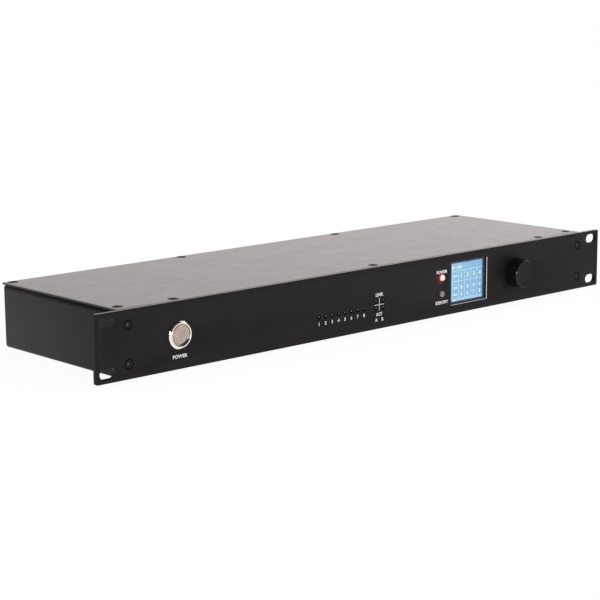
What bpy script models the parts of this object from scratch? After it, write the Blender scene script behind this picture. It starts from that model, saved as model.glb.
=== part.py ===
"""Rack-mounted lighting data node, one rack unit high, with eight data outlets.

Lengths are in metres. +X runs to the right seen from the front, +Y to the back and +Z up.
The origin is the centre of the chassis bottom, and the front panel faces -Y.
Pieces that touch on the real object keep a gap of GAP between their faces.
"""
import math

import bmesh
import bpy
from mathutils import Matrix, Vector

MM = 0.001

# Fits and facets
GAP = 0.3 * MM
OVERCUT = 1.0 * MM
OVERLAP = 0.2 * MM
ROUND_SIDES = 24
SOCKET_SIDES = 16
SMALL_SIDES = 12
HIDDEN_SIDES = 8
PIN_SIDES = 6
CORNER_STEPS = 3
SMALL_CORNER_STEPS = 2
DOME_STEPS = 3
SHARP_ANGLE = math.radians(35)
MERGE_DISTANCE = 0.01 * MM

# Front panel, a flat plate with two ears past the chassis
PANEL_WIDTH = 482.6 * MM
PANEL_HEIGHT = 44.0 * MM
PANEL_THICKNESS = 3.0 * MM
PANEL_CORNER = 1.5 * MM
EAR_WIDTH = 20.1 * MM

# Rack slots in the ears
SLOT_LENGTH = 12.0 * MM
SLOT_HEIGHT = 6.9 * MM
SLOT_END_RADIUS = 3.44 * MM
SLOT_FROM_END = 8.75 * MM
SLOT_PITCH = 31.75 * MM

# Chassis, one folded sheet with inward flanges round its open top
CHASSIS_DEPTH = 129.4 * MM
CHASSIS_SHEET = 1.2 * MM
BEND_RADIUS = 2.0 * MM
SIDE_FLANGE = 12.0 * MM
END_FLANGE = 9.5 * MM

# Cover, a flat lid on the flanges
COVER_THICKNESS = 1.2 * MM
COVER_OVERHANG = 0.7 * MM
COVER_CORNER = 1.5 * MM

# Countersunk screws, in the cover and in the front panel
COVER_SCREW_RADIUS = 1.5 * MM
COVER_SCREW_HEAD = 3.5 * MM
COVER_SCREW_HEAD_DEPTH = 1.0 * MM
COVER_SCREW_LENGTH = 5.0 * MM
COVER_SCREW_FROM_SIDE = 5.8 * MM
COVER_SCREW_FROM_FRONT = 4.7 * MM
COVER_SCREW_FROM_BACK = 3.7 * MM
CORNER_SCREW_FROM_FRONT = 8.7 * MM
FRONT_ROW_FROM_SIDE = 44.7 * MM
FRONT_ROW_SHIFT = 1.4 * MM
BACK_ROW_FROM_SIDE = 145.4 * MM
BACK_ROW_SHIFT = 3.0 * MM
PANEL_SCREW_RADIUS = 1.6 * MM
PANEL_SCREW_HEAD = 3.1 * MM
PANEL_SCREW_HEAD_DEPTH = 1.5 * MM
PANEL_SCREW_LENGTH = 8.0 * MM
PANEL_SCREW_FROM_END = 25.0 * MM
PANEL_SCREW_PITCH = 24.7 * MM
SHANK_SHARE = 0.98
DRIVE_DEPTH = 0.7 * MM
DRIVE_RADIUS = 1.3 * MM

# Power button, with its centre this far from the panel's left end
BUTTON_FROM_LEFT = 65.1 * MM
BEZEL_RADIUS = 9.1 * MM
BEZEL_HEIGHT = 1.4 * MM
BEZEL_CHAMFER = 1.0 * MM
BUTTON_BARREL_RADIUS = 8.0 * MM
BUTTON_BARREL_DEPTH = 20.0 * MM
CAP_RADIUS = 6.95 * MM
CAP_RECESS = 0.2 * MM
CAP_HEIGHT = 6.0 * MM
CAP_CHAMFER = 0.4 * MM
CAP_TRAVEL = 2.5 * MM
BUTTON_NUT_FLATS = 19.0 * MM
BUTTON_NUT_THICKNESS = 3.0 * MM
TERMINAL_LENGTH = 4.0 * MM
TERMINAL_WIDTH = 2.8 * MM
TERMINAL_THICKNESS = 0.6 * MM
TERMINAL_OFFSET = 4.0 * MM

# Indicator lamps: eight for the ports, four for the two network links
PORT_LAMP_COUNT = 8
PORT_LAMP_PITCH = 6.04 * MM
PORT_LAMPS_X = -36.2 * MM
PORT_LAMPS_BELOW_CENTRE = 5.9 * MM
LINK_LAMP_SPACING_X = 7.0 * MM
LINK_LAMP_SPACING_Z = 5.0 * MM
LINK_LAMPS_BELOW_CENTRE = 4.7 * MM
PIPE_RADIUS = 1.0 * MM
PIPE_RECESS = 0.1 * MM
PIPE_BAR_MARGIN = 1.0 * MM
STATUS_LAMP_X = 63.6 * MM
STATUS_LAMP_OFFSET = 6.0 * MM
STATUS_LAMP_RADIUS = 2.5 * MM
STATUS_LAMP_PROUD = 1.6 * MM
STATUS_LAMP_FLANGE = 2.95 * MM

# Display: its window in the panel, and the module behind it
WINDOW_X = 92.1 * MM
WINDOW_WIDTH = 39.4 * MM
WINDOW_HEIGHT = 32.0 * MM
WINDOW_CORNER = 0.8 * MM
WINDOW_RECESS = 0.1 * MM
MODULE_X = 93.2 * MM
MODULE_WIDTH = 46.7 * MM
MODULE_HEIGHT = 34.7 * MM

# Rotary knob on a push encoder
KNOB_X = 143.0 * MM
KNOB_BASE_RADIUS = 10.9 * MM
KNOB_FACE_RADIUS = 10.3 * MM
KNOB_DEPTH = 9.2 * MM
KNOB_CHAMFER = 0.6 * MM
KNOB_TRAVEL = 0.5 * MM
KNOB_STANDOFF = 1.0 * MM
KNOB_RECESS_RADIUS = 7.8 * MM
KNOB_RECESS_DEPTH = 3.6 * MM
KNOB_BORE_DEPTH = 7.9 * MM
SHAFT_RADIUS = 3.0 * MM
BUSH_RADIUS = 4.5 * MM
BUSH_PROUD = 3.3 * MM
ENCODER_NUT_FLATS = 12.0 * MM
ENCODER_NUT_THICKNESS = 2.0 * MM
ENCODER_BODY_SIZE = 13.0 * MM
ENCODER_WALL = 1.2 * MM
ROTOR_RADIUS = 4.9 * MM
ROTOR_THICKNESS = 2.0 * MM

# Circuit boards
BOARD_THICKNESS = 1.6 * MM
CONTROL_BOARD_HEIGHT = 35.0 * MM
CONTROL_BOARD_MARGIN = 12.0 * MM
CONTROL_BOARD_STANDOFF = 9.2 * MM
CONTROL_STUD_RADIUS = 2.2 * MM
CONTROL_STUD_INSET = 4.0 * MM
CONTROL_WINDOW_CLEARANCE = 0.8 * MM
BOSS_RADIUS = 3.0 * MM
BOSS_HEIGHT = 6.0 * MM
BOSS_INSET = 6.0 * MM
BOARD_TO_WALL = 8.0 * MM
BOARD_TO_BOARD = 12.0 * MM
MAIN_BOARD_BEHIND_CONTROL = 10.0 * MM
SUPPLY_WIDTH = 92.0 * MM
SUPPLY_BEHIND_BUTTON = 11.0 * MM
SUPPLY_TO_INLET = 12.0 * MM

# Components on the boards
PROCESSOR_SIZE = 18.0 * MM
PROCESSOR_HEIGHT = 2.5 * MM
DRIVER_WIDTH = 8.0 * MM
DRIVER_DEPTH = 10.0 * MM
DRIVER_HEIGHT = 4.0 * MM
DRIVER_FROM_EDGE = 4.0 * MM
CAPACITOR_COUNT = 3
CAPACITOR_RADIUS = 5.0 * MM
CAPACITOR_HEIGHT = 12.0 * MM
CAPACITOR_PITCH = 16.0 * MM
CAPACITORS_FROM_END = 30.0 * MM
TRANSFORMER_WIDTH = 28.0 * MM
TRANSFORMER_DEPTH = 24.0 * MM
TRANSFORMER_HEIGHT = 20.0 * MM
MAINS_CAPACITOR_RADIUS = 7.0 * MM
MAINS_CAPACITOR_HEIGHT = 22.0 * MM
MAINS_CAPACITOR_PITCH = 20.0 * MM
MAINS_CAPACITORS_FROM_END = 16.0 * MM
HEAT_SINK_THICKNESS = 3.0 * MM
HEAT_SINK_LENGTH = 30.0 * MM
HEAT_SINK_HEIGHT = 18.0 * MM
HEAT_SINK_FROM_END = 22.0 * MM

# Sockets in the back wall share one flange
FLANGE_WIDTH = 26.0 * MM
FLANGE_HEIGHT = 31.0 * MM
FLANGE_THICKNESS = 2.0 * MM
FLANGE_CORNER = 3.0 * MM
FLANGE_SCREW_X = 9.5 * MM
FLANGE_SCREW_Z = 12.0 * MM
FLANGE_SCREW_RADIUS = 2.7 * MM
FLANGE_SCREW_TOP = 1.9 * MM
FLANGE_SCREW_HEIGHT = 0.5 * MM
COLLAR_RADIUS = 11.6 * MM
COLLAR_HEIGHT = 1.5 * MM
BARREL_RADIUS = 11.9 * MM
BARREL_DEPTH = 22.0 * MM

# Five-pole data outlets
OUTLET_COUNT = 8
OUTLET_SPACING = 7.0 * MM
OUTLET_BORE_RADIUS = 9.3 * MM
OUTLET_BORE_DEPTH = 14.0 * MM
INSERT_RADIUS = 6.9 * MM
INSERT_RECESS = 1.5 * MM
CONTACT_COUNT = 5
CONTACT_STEP = math.radians(60)
CONTACT_CIRCLE = 4.2 * MM
CONTACT_RADIUS = 1.2 * MM
CONTACT_DEPTH = 6.0 * MM

# Locking network sockets, two of them
NETWORK_COUNT = 2
NETWORK_SPACING = 6.0 * MM
NETWORK_BORE_RADIUS = 9.3 * MM
NETWORK_BORE_DEPTH = 6.0 * MM
JACK_WIDTH = 11.8 * MM
JACK_HEIGHT = 8.2 * MM
JACK_DEPTH = 12.0 * MM

# Release latch at the top of each round socket
LATCH_WIDTH = 7.8 * MM
LATCH_LOW = 10.0 * MM
LATCH_HIGH = 14.1 * MM
LATCH_THICKNESS = 2.4 * MM
LATCH_TRAVEL = 1.5 * MM
LATCH_STEM_WIDTH = 4.6 * MM
LATCH_STEM_THICKNESS = 0.8 * MM
LATCH_STEM_DEPTH = 5.0 * MM
LATCH_STEM_DROP = 1.6 * MM
POCKET_FLOOR = 0.4 * MM
BUTTON_END_PLAY = 0.5 * MM

# Mains inlet
INLET_FLANGE_WIDTH = 50.0 * MM
INLET_FLANGE_HEIGHT = 24.0 * MM
INLET_FLANGE_THICKNESS = 2.0 * MM
INLET_BODY_WIDTH = 28.0 * MM
INLET_BODY_HEIGHT = 20.5 * MM
INLET_BODY_DEPTH = 20.0 * MM
INLET_MOUTH_WIDTH = 24.6 * MM
INLET_MOUTH_HEIGHT = 16.8 * MM
INLET_MOUTH_DEPTH = 15.0 * MM
INLET_MOUTH_CORNER = 3.5 * MM
INLET_PIN_WIDTH = 2.0 * MM
INLET_PIN_HEIGHT = 4.0 * MM
INLET_PIN_LENGTH = 13.0 * MM
INLET_PIN_SPACING = 14.0 * MM
EARTH_PIN_RAISE = 4.0 * MM
INLET_SCREW_SPACING = 40.0 * MM

# Wiring inside the case
WIRE_RADIUS = 2.0 * MM
RIBBON_WIDTH = 22.0 * MM
RIBBON_THICKNESS = 0.9 * MM
PLUG_HEIGHT = 6.0 * MM
PLUG_DEPTH = 6.0 * MM
PLUG_WIDTH = 10.0 * MM
PLUG_INSET = 1.0 * MM
LEAD_LENGTH = 1.0 * MM
WIRE_SWEEP = 5.0 * MM
RIBBON_SWEEP = 4.0 * MM
CURVE_POINTS = 9

# Planes and places that follow from the sizes
AXIS_Z = PANEL_HEIGHT / 2
PANEL_BACK = -CHASSIS_DEPTH / 2 - GAP
PANEL_FRONT = PANEL_BACK - PANEL_THICKNESS
CHASSIS_HALF_WIDTH = PANEL_WIDTH / 2 - EAR_WIDTH
CHASSIS_FRONT = -CHASSIS_DEPTH / 2
CHASSIS_BACK = CHASSIS_DEPTH / 2
CHASSIS_TOP = PANEL_HEIGHT - COVER_THICKNESS - GAP
INNER_HALF_WIDTH = CHASSIS_HALF_WIDTH - CHASSIS_SHEET
SEAT = CHASSIS_BACK + GAP
BUTTON_X = -PANEL_WIDTH / 2 + BUTTON_FROM_LEFT
BUTTON_INNER_END = PANEL_FRONT + BUTTON_BARREL_DEPTH
CONTROL_FRONT = PANEL_BACK + CONTROL_BOARD_STANDOFF + GAP
CONTROL_BACK = CONTROL_FRONT + BOARD_THICKNESS
PORT_LAMP_SPAN = PORT_LAMP_PITCH * (PORT_LAMP_COUNT - 1)
CONTROL_LEFT = PORT_LAMPS_X - PORT_LAMP_SPAN / 2 - CONTROL_BOARD_MARGIN
CONTROL_RIGHT = KNOB_X + ENCODER_BODY_SIZE / 2 + CONTROL_BOARD_MARGIN
BOARD_BOTTOM = CHASSIS_SHEET + BOSS_HEIGHT + GAP
BOARD_TOP = BOARD_BOTTOM + BOARD_THICKNESS
SUPPLY_LEFT = -INNER_HALF_WIDTH + BOARD_TO_WALL
SUPPLY_RIGHT = SUPPLY_LEFT + SUPPLY_WIDTH
SUPPLY_FRONT = BUTTON_INNER_END + TERMINAL_LENGTH + SUPPLY_BEHIND_BUTTON
SUPPLY_BACK = SEAT - INLET_BODY_DEPTH - SUPPLY_TO_INLET
MAIN_LEFT = SUPPLY_RIGHT + BOARD_TO_BOARD
MAIN_RIGHT = INNER_HALF_WIDTH - BOARD_TO_WALL
MAIN_FRONT = CONTROL_BACK + MAIN_BOARD_BEHIND_CONTROL
MAIN_BACK = SEAT - BARREL_DEPTH - GAP
MAIN_MIDDLE_Y = (MAIN_FRONT + MAIN_BACK) / 2
PLUG_Z = BOARD_TOP + PLUG_HEIGHT / 2
WINDOW_LEFT = WINDOW_X - WINDOW_WIDTH / 2
RIBBON_X = WINDOW_LEFT / 2

# The back wall holds the inlet, the network sockets and the outlets, with equal spaces left
OUTLET_PITCH = FLANGE_WIDTH + OUTLET_SPACING
OUTLET_ROW = OUTLET_PITCH * (OUTLET_COUNT - 1) + FLANGE_WIDTH
NETWORK_PITCH = FLANGE_WIDTH + NETWORK_SPACING
NETWORK_ROW = NETWORK_PITCH * (NETWORK_COUNT - 1) + FLANGE_WIDTH
BACK_SPACE = (2 * INNER_HALF_WIDTH - OUTLET_ROW - NETWORK_ROW - INLET_FLANGE_WIDTH) / 4
INLET_X = -INNER_HALF_WIDTH + BACK_SPACE + INLET_FLANGE_WIDTH / 2
NETWORK_FIRST_X = INLET_X + INLET_FLANGE_WIDTH / 2 + BACK_SPACE + FLANGE_WIDTH / 2
OUTLET_FIRST_X = INNER_HALF_WIDTH - BACK_SPACE - OUTLET_ROW + FLANGE_WIDTH / 2

for old in list(bpy.data.objects):
    bpy.data.objects.remove(old, do_unlink=True)


def new_collection(name):
    """Make a collection in the scene."""
    collection = bpy.data.collections.new(name)
    bpy.context.scene.collection.children.link(collection)
    return collection


PARTS = new_collection("lighting_data_node")
TOOLS = new_collection("cutters_and_joiners")


def new_material(name, color, roughness, metallic=0.0, alpha=1.0):
    """Make a Principled material."""
    material = bpy.data.materials.new(name)
    material.use_nodes = True
    shader = material.node_tree.nodes["Principled BSDF"]
    shader.inputs["Base Color"].default_value = (*color, 1.0)
    shader.inputs["Roughness"].default_value = roughness
    shader.inputs["Metallic"].default_value = metallic
    shader.inputs["Alpha"].default_value = alpha
    return material


BLACK_PANEL = new_material("black_panel_paint", (0.022, 0.021, 0.022), 0.55)
BLACK_CASE = new_material("black_case_paint", (0.030, 0.029, 0.030), 0.45)
BLACK_SCREW = new_material("black_screw_steel", (0.015, 0.015, 0.016), 0.35, 0.6)
BRIGHT_METAL = new_material("bright_plated_metal", (0.80, 0.77, 0.75), 0.18, 1.0)
BRUSHED_METAL = new_material("brushed_cap_metal", (0.62, 0.55, 0.53), 0.38, 1.0)
BLACK_PLASTIC = new_material("black_plastic", (0.012, 0.012, 0.013), 0.45)
KNOB_PLASTIC = new_material("knob_plastic", (0.018, 0.018, 0.019), 0.5)
CLEAR_PLASTIC = new_material("clear_lamp_plastic", (0.70, 0.70, 0.70), 0.25, 0.0, 0.8)
RED_LAMP = new_material("red_lamp_epoxy", (0.85, 0.12, 0.10), 0.2)
GREY_LAMP = new_material("grey_lamp_epoxy", (0.45, 0.36, 0.36), 0.2)
WINDOW_GLASS = new_material("display_pane", (0.75, 0.82, 0.88), 0.05, 0.0, 0.35)
SCREEN_GLASS = new_material("display_screen", (0.36, 0.62, 0.85), 0.3)
BOARD_GREEN = new_material("circuit_board", (0.02, 0.16, 0.07), 0.5)
BRASS = new_material("nut_brass", (0.70, 0.55, 0.28), 0.3, 1.0)
STEEL = new_material("shaft_steel", (0.55, 0.55, 0.56), 0.3, 1.0)
WIRE_BLACK = new_material("wire_insulation", (0.02, 0.02, 0.02), 0.5)
RIBBON_GREY = new_material("ribbon_insulation", (0.45, 0.45, 0.46), 0.5)


def add_block(bm, low, high, rounded_axis=None, radius=0.0, steps=CORNER_STEPS):
    """Add a box between two corners, with the four edges along one axis rounded if asked."""
    low = Vector(low)
    high = Vector(high)
    place = Matrix.Translation((low + high) / 2) @ Matrix.Diagonal((*(high - low), 1.0))
    verts = bmesh.ops.create_cube(bm, size=1.0, matrix=place)["verts"]
    if rounded_axis is None:
        return
    along = "XYZ".index(rounded_axis)
    edges = {edge for vert in verts for edge in vert.link_edges}
    picked = [edge for edge in edges
              if abs(edge.verts[0].co[along] - edge.verts[1].co[along]) > MM / 10]
    bmesh.ops.bevel(bm, geom=picked, offset=radius, offset_type="OFFSET",
                    segments=steps, profile=0.5, affect="EDGES")


def add_round(bm, start, end, radius, end_radius=None, sides=SMALL_SIDES):
    """Add a closed cylinder, or a cone, whose axis runs from start to end."""
    start = Vector(start)
    end = Vector(end)
    axis = end - start
    place = Matrix.Translation((start + end) / 2) @ axis.to_track_quat("Z", "Y").to_matrix().to_4x4()
    bmesh.ops.create_cone(bm, cap_ends=True, segments=sides, radius1=radius,
                          radius2=radius if end_radius is None else end_radius,
                          depth=axis.length, matrix=place)


def add_countersink(bm, face, inward, head, shank, depth):
    """Add the cone that seats a countersunk head, from just outside a face and inward."""
    face = Vector(face)
    inward = Vector(inward)
    spread = OVERLAP * (head - shank) / depth
    add_round(bm, face - inward * OVERLAP, face + inward * depth, head + GAP + spread, shank + GAP)


def new_object(name, bm, collection, material=None):
    """Turn a bmesh into an object, shaded smooth between its sharp edges."""
    mesh = bpy.data.meshes.new(name)
    bm.to_mesh(mesh)
    bm.free()
    mesh.shade_smooth()
    mesh.set_sharp_from_angle(angle=SHARP_ANGLE)
    if material is not None:
        mesh.materials.append(material)
    item = bpy.data.objects.new(name, mesh)
    collection.objects.link(item)
    return item


def new_part(name, bm, material, location=(0.0, 0.0, 0.0)):
    """Make a sub-part at its place."""
    part = new_object(name, bm, PARTS, material)
    part.location = location
    return part


def combine(part, bm, operation, label):
    """Give a part a live Boolean with a tool drawn in the part's own frame."""
    tool = new_object(f"{part.name}_{label}", bm, TOOLS)
    tool.parent = part
    tool.hide_render = True
    tool.display_type = "WIRE"
    modifier = part.modifiers.new(label, "BOOLEAN")
    modifier.operation = operation
    modifier.solver = "EXACT"
    modifier.object = tool


def cut(part, bm, label):
    """Cut a tool out of a part."""
    combine(part, bm, "DIFFERENCE", label)


def join(part, bm, label):
    """Join a tool to a part as one body."""
    combine(part, bm, "UNION", label)


def freeze(part):
    """Take a part and its tools away, and return the one mesh that they make."""
    graph = bpy.context.evaluated_depsgraph_get()
    mesh = bpy.data.meshes.new_from_object(part.evaluated_get(graph))
    for tool in list(part.children):
        bpy.data.objects.remove(tool, do_unlink=True)
    bpy.data.objects.remove(part, do_unlink=True)
    return mesh


def place_copy(name, mesh, location):
    """Place one more object that shares a finished mesh."""
    item = bpy.data.objects.new(name, mesh)
    item.location = location
    PARTS.objects.link(item)
    return item


def turned_part(name, profile, material, location, sides=ROUND_SIDES, facing="-Y"):
    """Turn a profile of (radius, height) about the local Z axis, which faces front or back."""
    bm = bmesh.new()
    verts = [bm.verts.new((radius, 0.0, height)) for radius, height in profile]
    for first, second in zip(verts, verts[1:]):
        bm.edges.new((first, second))
    if profile[0][0] > 0.0:
        bm.edges.new((verts[-1], verts[0]))
    part = new_part(name, bm, material, location)
    part.rotation_euler.x = math.pi / 2 if facing == "-Y" else -math.pi / 2
    screw = part.modifiers.new("turning", "SCREW")
    screw.axis = "Z"
    screw.angle = 2 * math.pi
    screw.steps = sides
    screw.render_steps = sides
    screw.use_merge_vertices = True
    screw.merge_threshold = MERGE_DISTANCE
    screw.use_smooth_shade = True
    return part


def port_lamp_places():
    """X of each port lamp, from left to right."""
    return [PORT_LAMPS_X - PORT_LAMP_SPAN / 2 + PORT_LAMP_PITCH * i for i in range(PORT_LAMP_COUNT)]


def link_lamp_places():
    """X and Z of the four link lamps."""
    middle = AXIS_Z - LINK_LAMPS_BELOW_CENTRE
    return [(side * LINK_LAMP_SPACING_X / 2, middle + up * LINK_LAMP_SPACING_Z / 2)
            for side in (-1, 1) for up in (-1, 1)]


def panel_screw_places():
    """X and Z of the four screws through the front panel."""
    x = PANEL_WIDTH / 2 - PANEL_SCREW_FROM_END
    return [(side * x, AXIS_Z + up * PANEL_SCREW_PITCH / 2) for side in (-1, 1) for up in (-1, 1)]


def cover_screw_places():
    """X and Y of the nine cover screws: four corners, three in front and two behind.

    The two rows are shifted a little to the right of the cover's middle.
    """
    corner_x = CHASSIS_HALF_WIDTH - COVER_SCREW_FROM_SIDE
    front_y = CHASSIS_FRONT + COVER_SCREW_FROM_FRONT
    corner_y = CHASSIS_FRONT + CORNER_SCREW_FROM_FRONT
    back_y = CHASSIS_BACK - COVER_SCREW_FROM_BACK
    corners = [(-corner_x, corner_y), (corner_x, corner_y), (-corner_x, back_y), (corner_x, back_y)]
    front_x = CHASSIS_HALF_WIDTH - FRONT_ROW_FROM_SIDE
    back_x = CHASSIS_HALF_WIDTH - BACK_ROW_FROM_SIDE
    front = [(x + FRONT_ROW_SHIFT, front_y) for x in (-front_x, 0.0, front_x)]
    back = [(x + BACK_ROW_SHIFT, back_y) for x in (-back_x, back_x)]
    return corners + front + back


def control_stud_places():
    """X and Z of the studs that carry the control board."""
    xs = (CONTROL_LEFT + CONTROL_STUD_INSET, (STATUS_LAMP_X + LINK_LAMP_SPACING_X) / 2,
          CONTROL_RIGHT - CONTROL_STUD_INSET)
    z = CONTROL_BOARD_HEIGHT / 2 - CONTROL_STUD_INSET
    return [(x, AXIS_Z + up * z) for x in xs for up in (-1, 1)]


def board_boss_places(left, right, front, back):
    """X and Y of the four floor bosses under a board."""
    return [(x, y) for x in (left + BOSS_INSET, right - BOSS_INSET)
            for y in (front + BOSS_INSET, back - BOSS_INSET)]


def socket_places(first, pitch, count):
    """X of each socket in a row."""
    return [first + pitch * i for i in range(count)]


def front_panel():
    """The panel plate, with its slots, holes, display window and the studs on its back."""
    bm = bmesh.new()
    add_block(bm, (-PANEL_WIDTH / 2, PANEL_FRONT, 0.0), (PANEL_WIDTH / 2, PANEL_BACK, PANEL_HEIGHT),
              "Y", PANEL_CORNER)
    panel = new_part("front_panel", bm, BLACK_PANEL)

    front = PANEL_FRONT - OVERCUT
    back = PANEL_BACK + OVERCUT
    bm = bmesh.new()
    slot_x = PANEL_WIDTH / 2 - SLOT_FROM_END
    for side in (-1, 1):
        for up in (-1, 1):
            centre_z = AXIS_Z + up * SLOT_PITCH / 2
            add_block(bm, (side * slot_x - SLOT_LENGTH / 2, front, centre_z - SLOT_HEIGHT / 2),
                      (side * slot_x + SLOT_LENGTH / 2, back, centre_z + SLOT_HEIGHT / 2),
                      "Y", SLOT_END_RADIUS, 2 * CORNER_STEPS)
    for x, z in panel_screw_places():
        add_round(bm, (x, front, z), (x, back, z), PANEL_SCREW_RADIUS + GAP, sides=HIDDEN_SIDES)
    for x in port_lamp_places():
        z = AXIS_Z - PORT_LAMPS_BELOW_CENTRE
        add_round(bm, (x, front, z), (x, back, z), PIPE_RADIUS + GAP, sides=HIDDEN_SIDES)
    for x, z in link_lamp_places():
        add_round(bm, (x, front, z), (x, back, z), PIPE_RADIUS + GAP, sides=HIDDEN_SIDES)
    for up in (-1, 1):
        z = AXIS_Z + up * STATUS_LAMP_OFFSET
        add_round(bm, (STATUS_LAMP_X, front, z), (STATUS_LAMP_X, back, z), STATUS_LAMP_RADIUS + GAP)
    add_round(bm, (BUTTON_X, front, AXIS_Z), (BUTTON_X, back, AXIS_Z),
              BUTTON_BARREL_RADIUS + GAP, sides=ROUND_SIDES)
    add_round(bm, (KNOB_X, front, AXIS_Z), (KNOB_X, back, AXIS_Z), BUSH_RADIUS + GAP)
    add_block(bm, (WINDOW_LEFT, front, AXIS_Z - WINDOW_HEIGHT / 2),
              (WINDOW_LEFT + WINDOW_WIDTH, back, AXIS_Z + WINDOW_HEIGHT / 2),
              "Y", WINDOW_CORNER, SMALL_CORNER_STEPS)
    cut(panel, bm, "holes")

    bm = bmesh.new()
    for x, z in panel_screw_places():
        add_countersink(bm, (x, PANEL_FRONT, z), (0, 1, 0), PANEL_SCREW_HEAD, PANEL_SCREW_RADIUS,
                        PANEL_SCREW_HEAD_DEPTH)
    cut(panel, bm, "countersinks")

    bm = bmesh.new()
    for x, z in control_stud_places():
        add_round(bm, (x, PANEL_BACK - OVERLAP, z), (x, PANEL_BACK + CONTROL_BOARD_STANDOFF, z),
                  CONTROL_STUD_RADIUS, sides=HIDDEN_SIDES)
    join(panel, bm, "studs")


def chassis_tray():
    """The folded chassis: floor, four walls, top flanges, wall openings and floor bosses."""
    bm = bmesh.new()
    add_block(bm, (-CHASSIS_HALF_WIDTH, CHASSIS_FRONT, 0.0),
              (CHASSIS_HALF_WIDTH, CHASSIS_BACK, CHASSIS_TOP))
    bmesh.ops.bevel(bm, geom=bm.edges[:], offset=BEND_RADIUS, offset_type="OFFSET",
                    segments=SMALL_CORNER_STEPS, profile=0.5, affect="EDGES")
    tray = new_part("chassis_tray", bm, BLACK_CASE)

    inner_front = CHASSIS_FRONT + CHASSIS_SHEET
    inner_back = CHASSIS_BACK - CHASSIS_SHEET
    bm = bmesh.new()
    add_block(bm, (-INNER_HALF_WIDTH, inner_front, CHASSIS_SHEET),
              (INNER_HALF_WIDTH, inner_back, CHASSIS_TOP - CHASSIS_SHEET))
    cut(tray, bm, "inside")

    mouth_half = CHASSIS_HALF_WIDTH - SIDE_FLANGE
    bm = bmesh.new()
    add_block(bm, (-mouth_half, CHASSIS_FRONT + END_FLANGE, CHASSIS_TOP - CHASSIS_SHEET - OVERCUT),
              (mouth_half, CHASSIS_BACK - END_FLANGE, CHASSIS_TOP + OVERCUT))
    cut(tray, bm, "mouth")

    bm = bmesh.new()
    for x, y in cover_screw_places():
        add_round(bm, (x, y, CHASSIS_TOP - CHASSIS_SHEET - OVERCUT), (x, y, CHASSIS_TOP + OVERCUT),
                  COVER_SCREW_RADIUS + GAP, sides=HIDDEN_SIDES)
    for x, z in panel_screw_places():
        add_round(bm, (x, CHASSIS_FRONT - OVERCUT, z), (x, inner_front + OVERCUT, z),
                  PANEL_SCREW_RADIUS + GAP, sides=HIDDEN_SIDES)
    add_round(bm, (BUTTON_X, CHASSIS_FRONT - OVERCUT, AXIS_Z), (BUTTON_X, inner_front + OVERCUT, AXIS_Z),
              BUTTON_BARREL_RADIUS + GAP, sides=ROUND_SIDES)
    window_half = CONTROL_BOARD_HEIGHT / 2 + CONTROL_WINDOW_CLEARANCE
    add_block(bm, (CONTROL_LEFT, CHASSIS_FRONT - OVERCUT, AXIS_Z - window_half),
              (CONTROL_RIGHT, inner_front + OVERCUT, AXIS_Z + window_half))
    for x in (socket_places(OUTLET_FIRST_X, OUTLET_PITCH, OUTLET_COUNT)
              + socket_places(NETWORK_FIRST_X, NETWORK_PITCH, NETWORK_COUNT)):
        add_round(bm, (x, inner_back - OVERCUT, AXIS_Z), (x, CHASSIS_BACK + OVERCUT, AXIS_Z),
                  BARREL_RADIUS + GAP, sides=SOCKET_SIDES)
    add_block(bm, (INLET_X - INLET_BODY_WIDTH / 2 - GAP, inner_back - OVERCUT,
                   AXIS_Z - INLET_BODY_HEIGHT / 2 - GAP),
              (INLET_X + INLET_BODY_WIDTH / 2 + GAP, CHASSIS_BACK + OVERCUT,
               AXIS_Z + INLET_BODY_HEIGHT / 2 + GAP))
    cut(tray, bm, "openings")

    bm = bmesh.new()
    for x, y in (board_boss_places(SUPPLY_LEFT, SUPPLY_RIGHT, SUPPLY_FRONT, SUPPLY_BACK)
                 + board_boss_places(MAIN_LEFT, MAIN_RIGHT, MAIN_FRONT, MAIN_BACK)):
        add_round(bm, (x, y, CHASSIS_SHEET - OVERLAP), (x, y, CHASSIS_SHEET + BOSS_HEIGHT),
                  BOSS_RADIUS, sides=HIDDEN_SIDES)
    join(tray, bm, "bosses")


def top_cover():
    """The flat lid, with its nine countersunk screw holes."""
    half = CHASSIS_HALF_WIDTH + COVER_OVERHANG
    low_z = PANEL_HEIGHT - COVER_THICKNESS
    bm = bmesh.new()
    add_block(bm, (-half, CHASSIS_FRONT, low_z), (half, CHASSIS_BACK, PANEL_HEIGHT), "Z", COVER_CORNER)
    cover = new_part("top_cover", bm, BLACK_CASE)

    bm = bmesh.new()
    for x, y in cover_screw_places():
        add_round(bm, (x, y, low_z - OVERCUT), (x, y, PANEL_HEIGHT + OVERCUT),
                  COVER_SCREW_RADIUS + GAP, sides=HIDDEN_SIDES)
    cut(cover, bm, "screw_holes")
    bm = bmesh.new()
    for x, y in cover_screw_places():
        add_countersink(bm, (x, y, PANEL_HEIGHT), (0, 0, -1), COVER_SCREW_HEAD, COVER_SCREW_RADIUS,
                        COVER_SCREW_HEAD_DEPTH)
    cut(cover, bm, "countersinks")


def countersunk_screw(inward, head, head_depth, radius, length):
    """The mesh of a screw with a hexagon socket, its head flush with the origin."""
    inward = Vector(inward)
    bm = bmesh.new()
    add_round(bm, (0, 0, 0), inward * head_depth, head, radius)
    screw = new_part("screw_pattern", bm, BLACK_SCREW)
    bm = bmesh.new()
    add_round(bm, inward * (head_depth / 2), inward * length, radius * SHANK_SHARE, sides=HIDDEN_SIDES)
    join(screw, bm, "shank")
    bm = bmesh.new()
    add_round(bm, inward * -OVERCUT, inward * DRIVE_DEPTH, DRIVE_RADIUS, sides=PIN_SIDES)
    cut(screw, bm, "hexagon")
    return freeze(screw)


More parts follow.
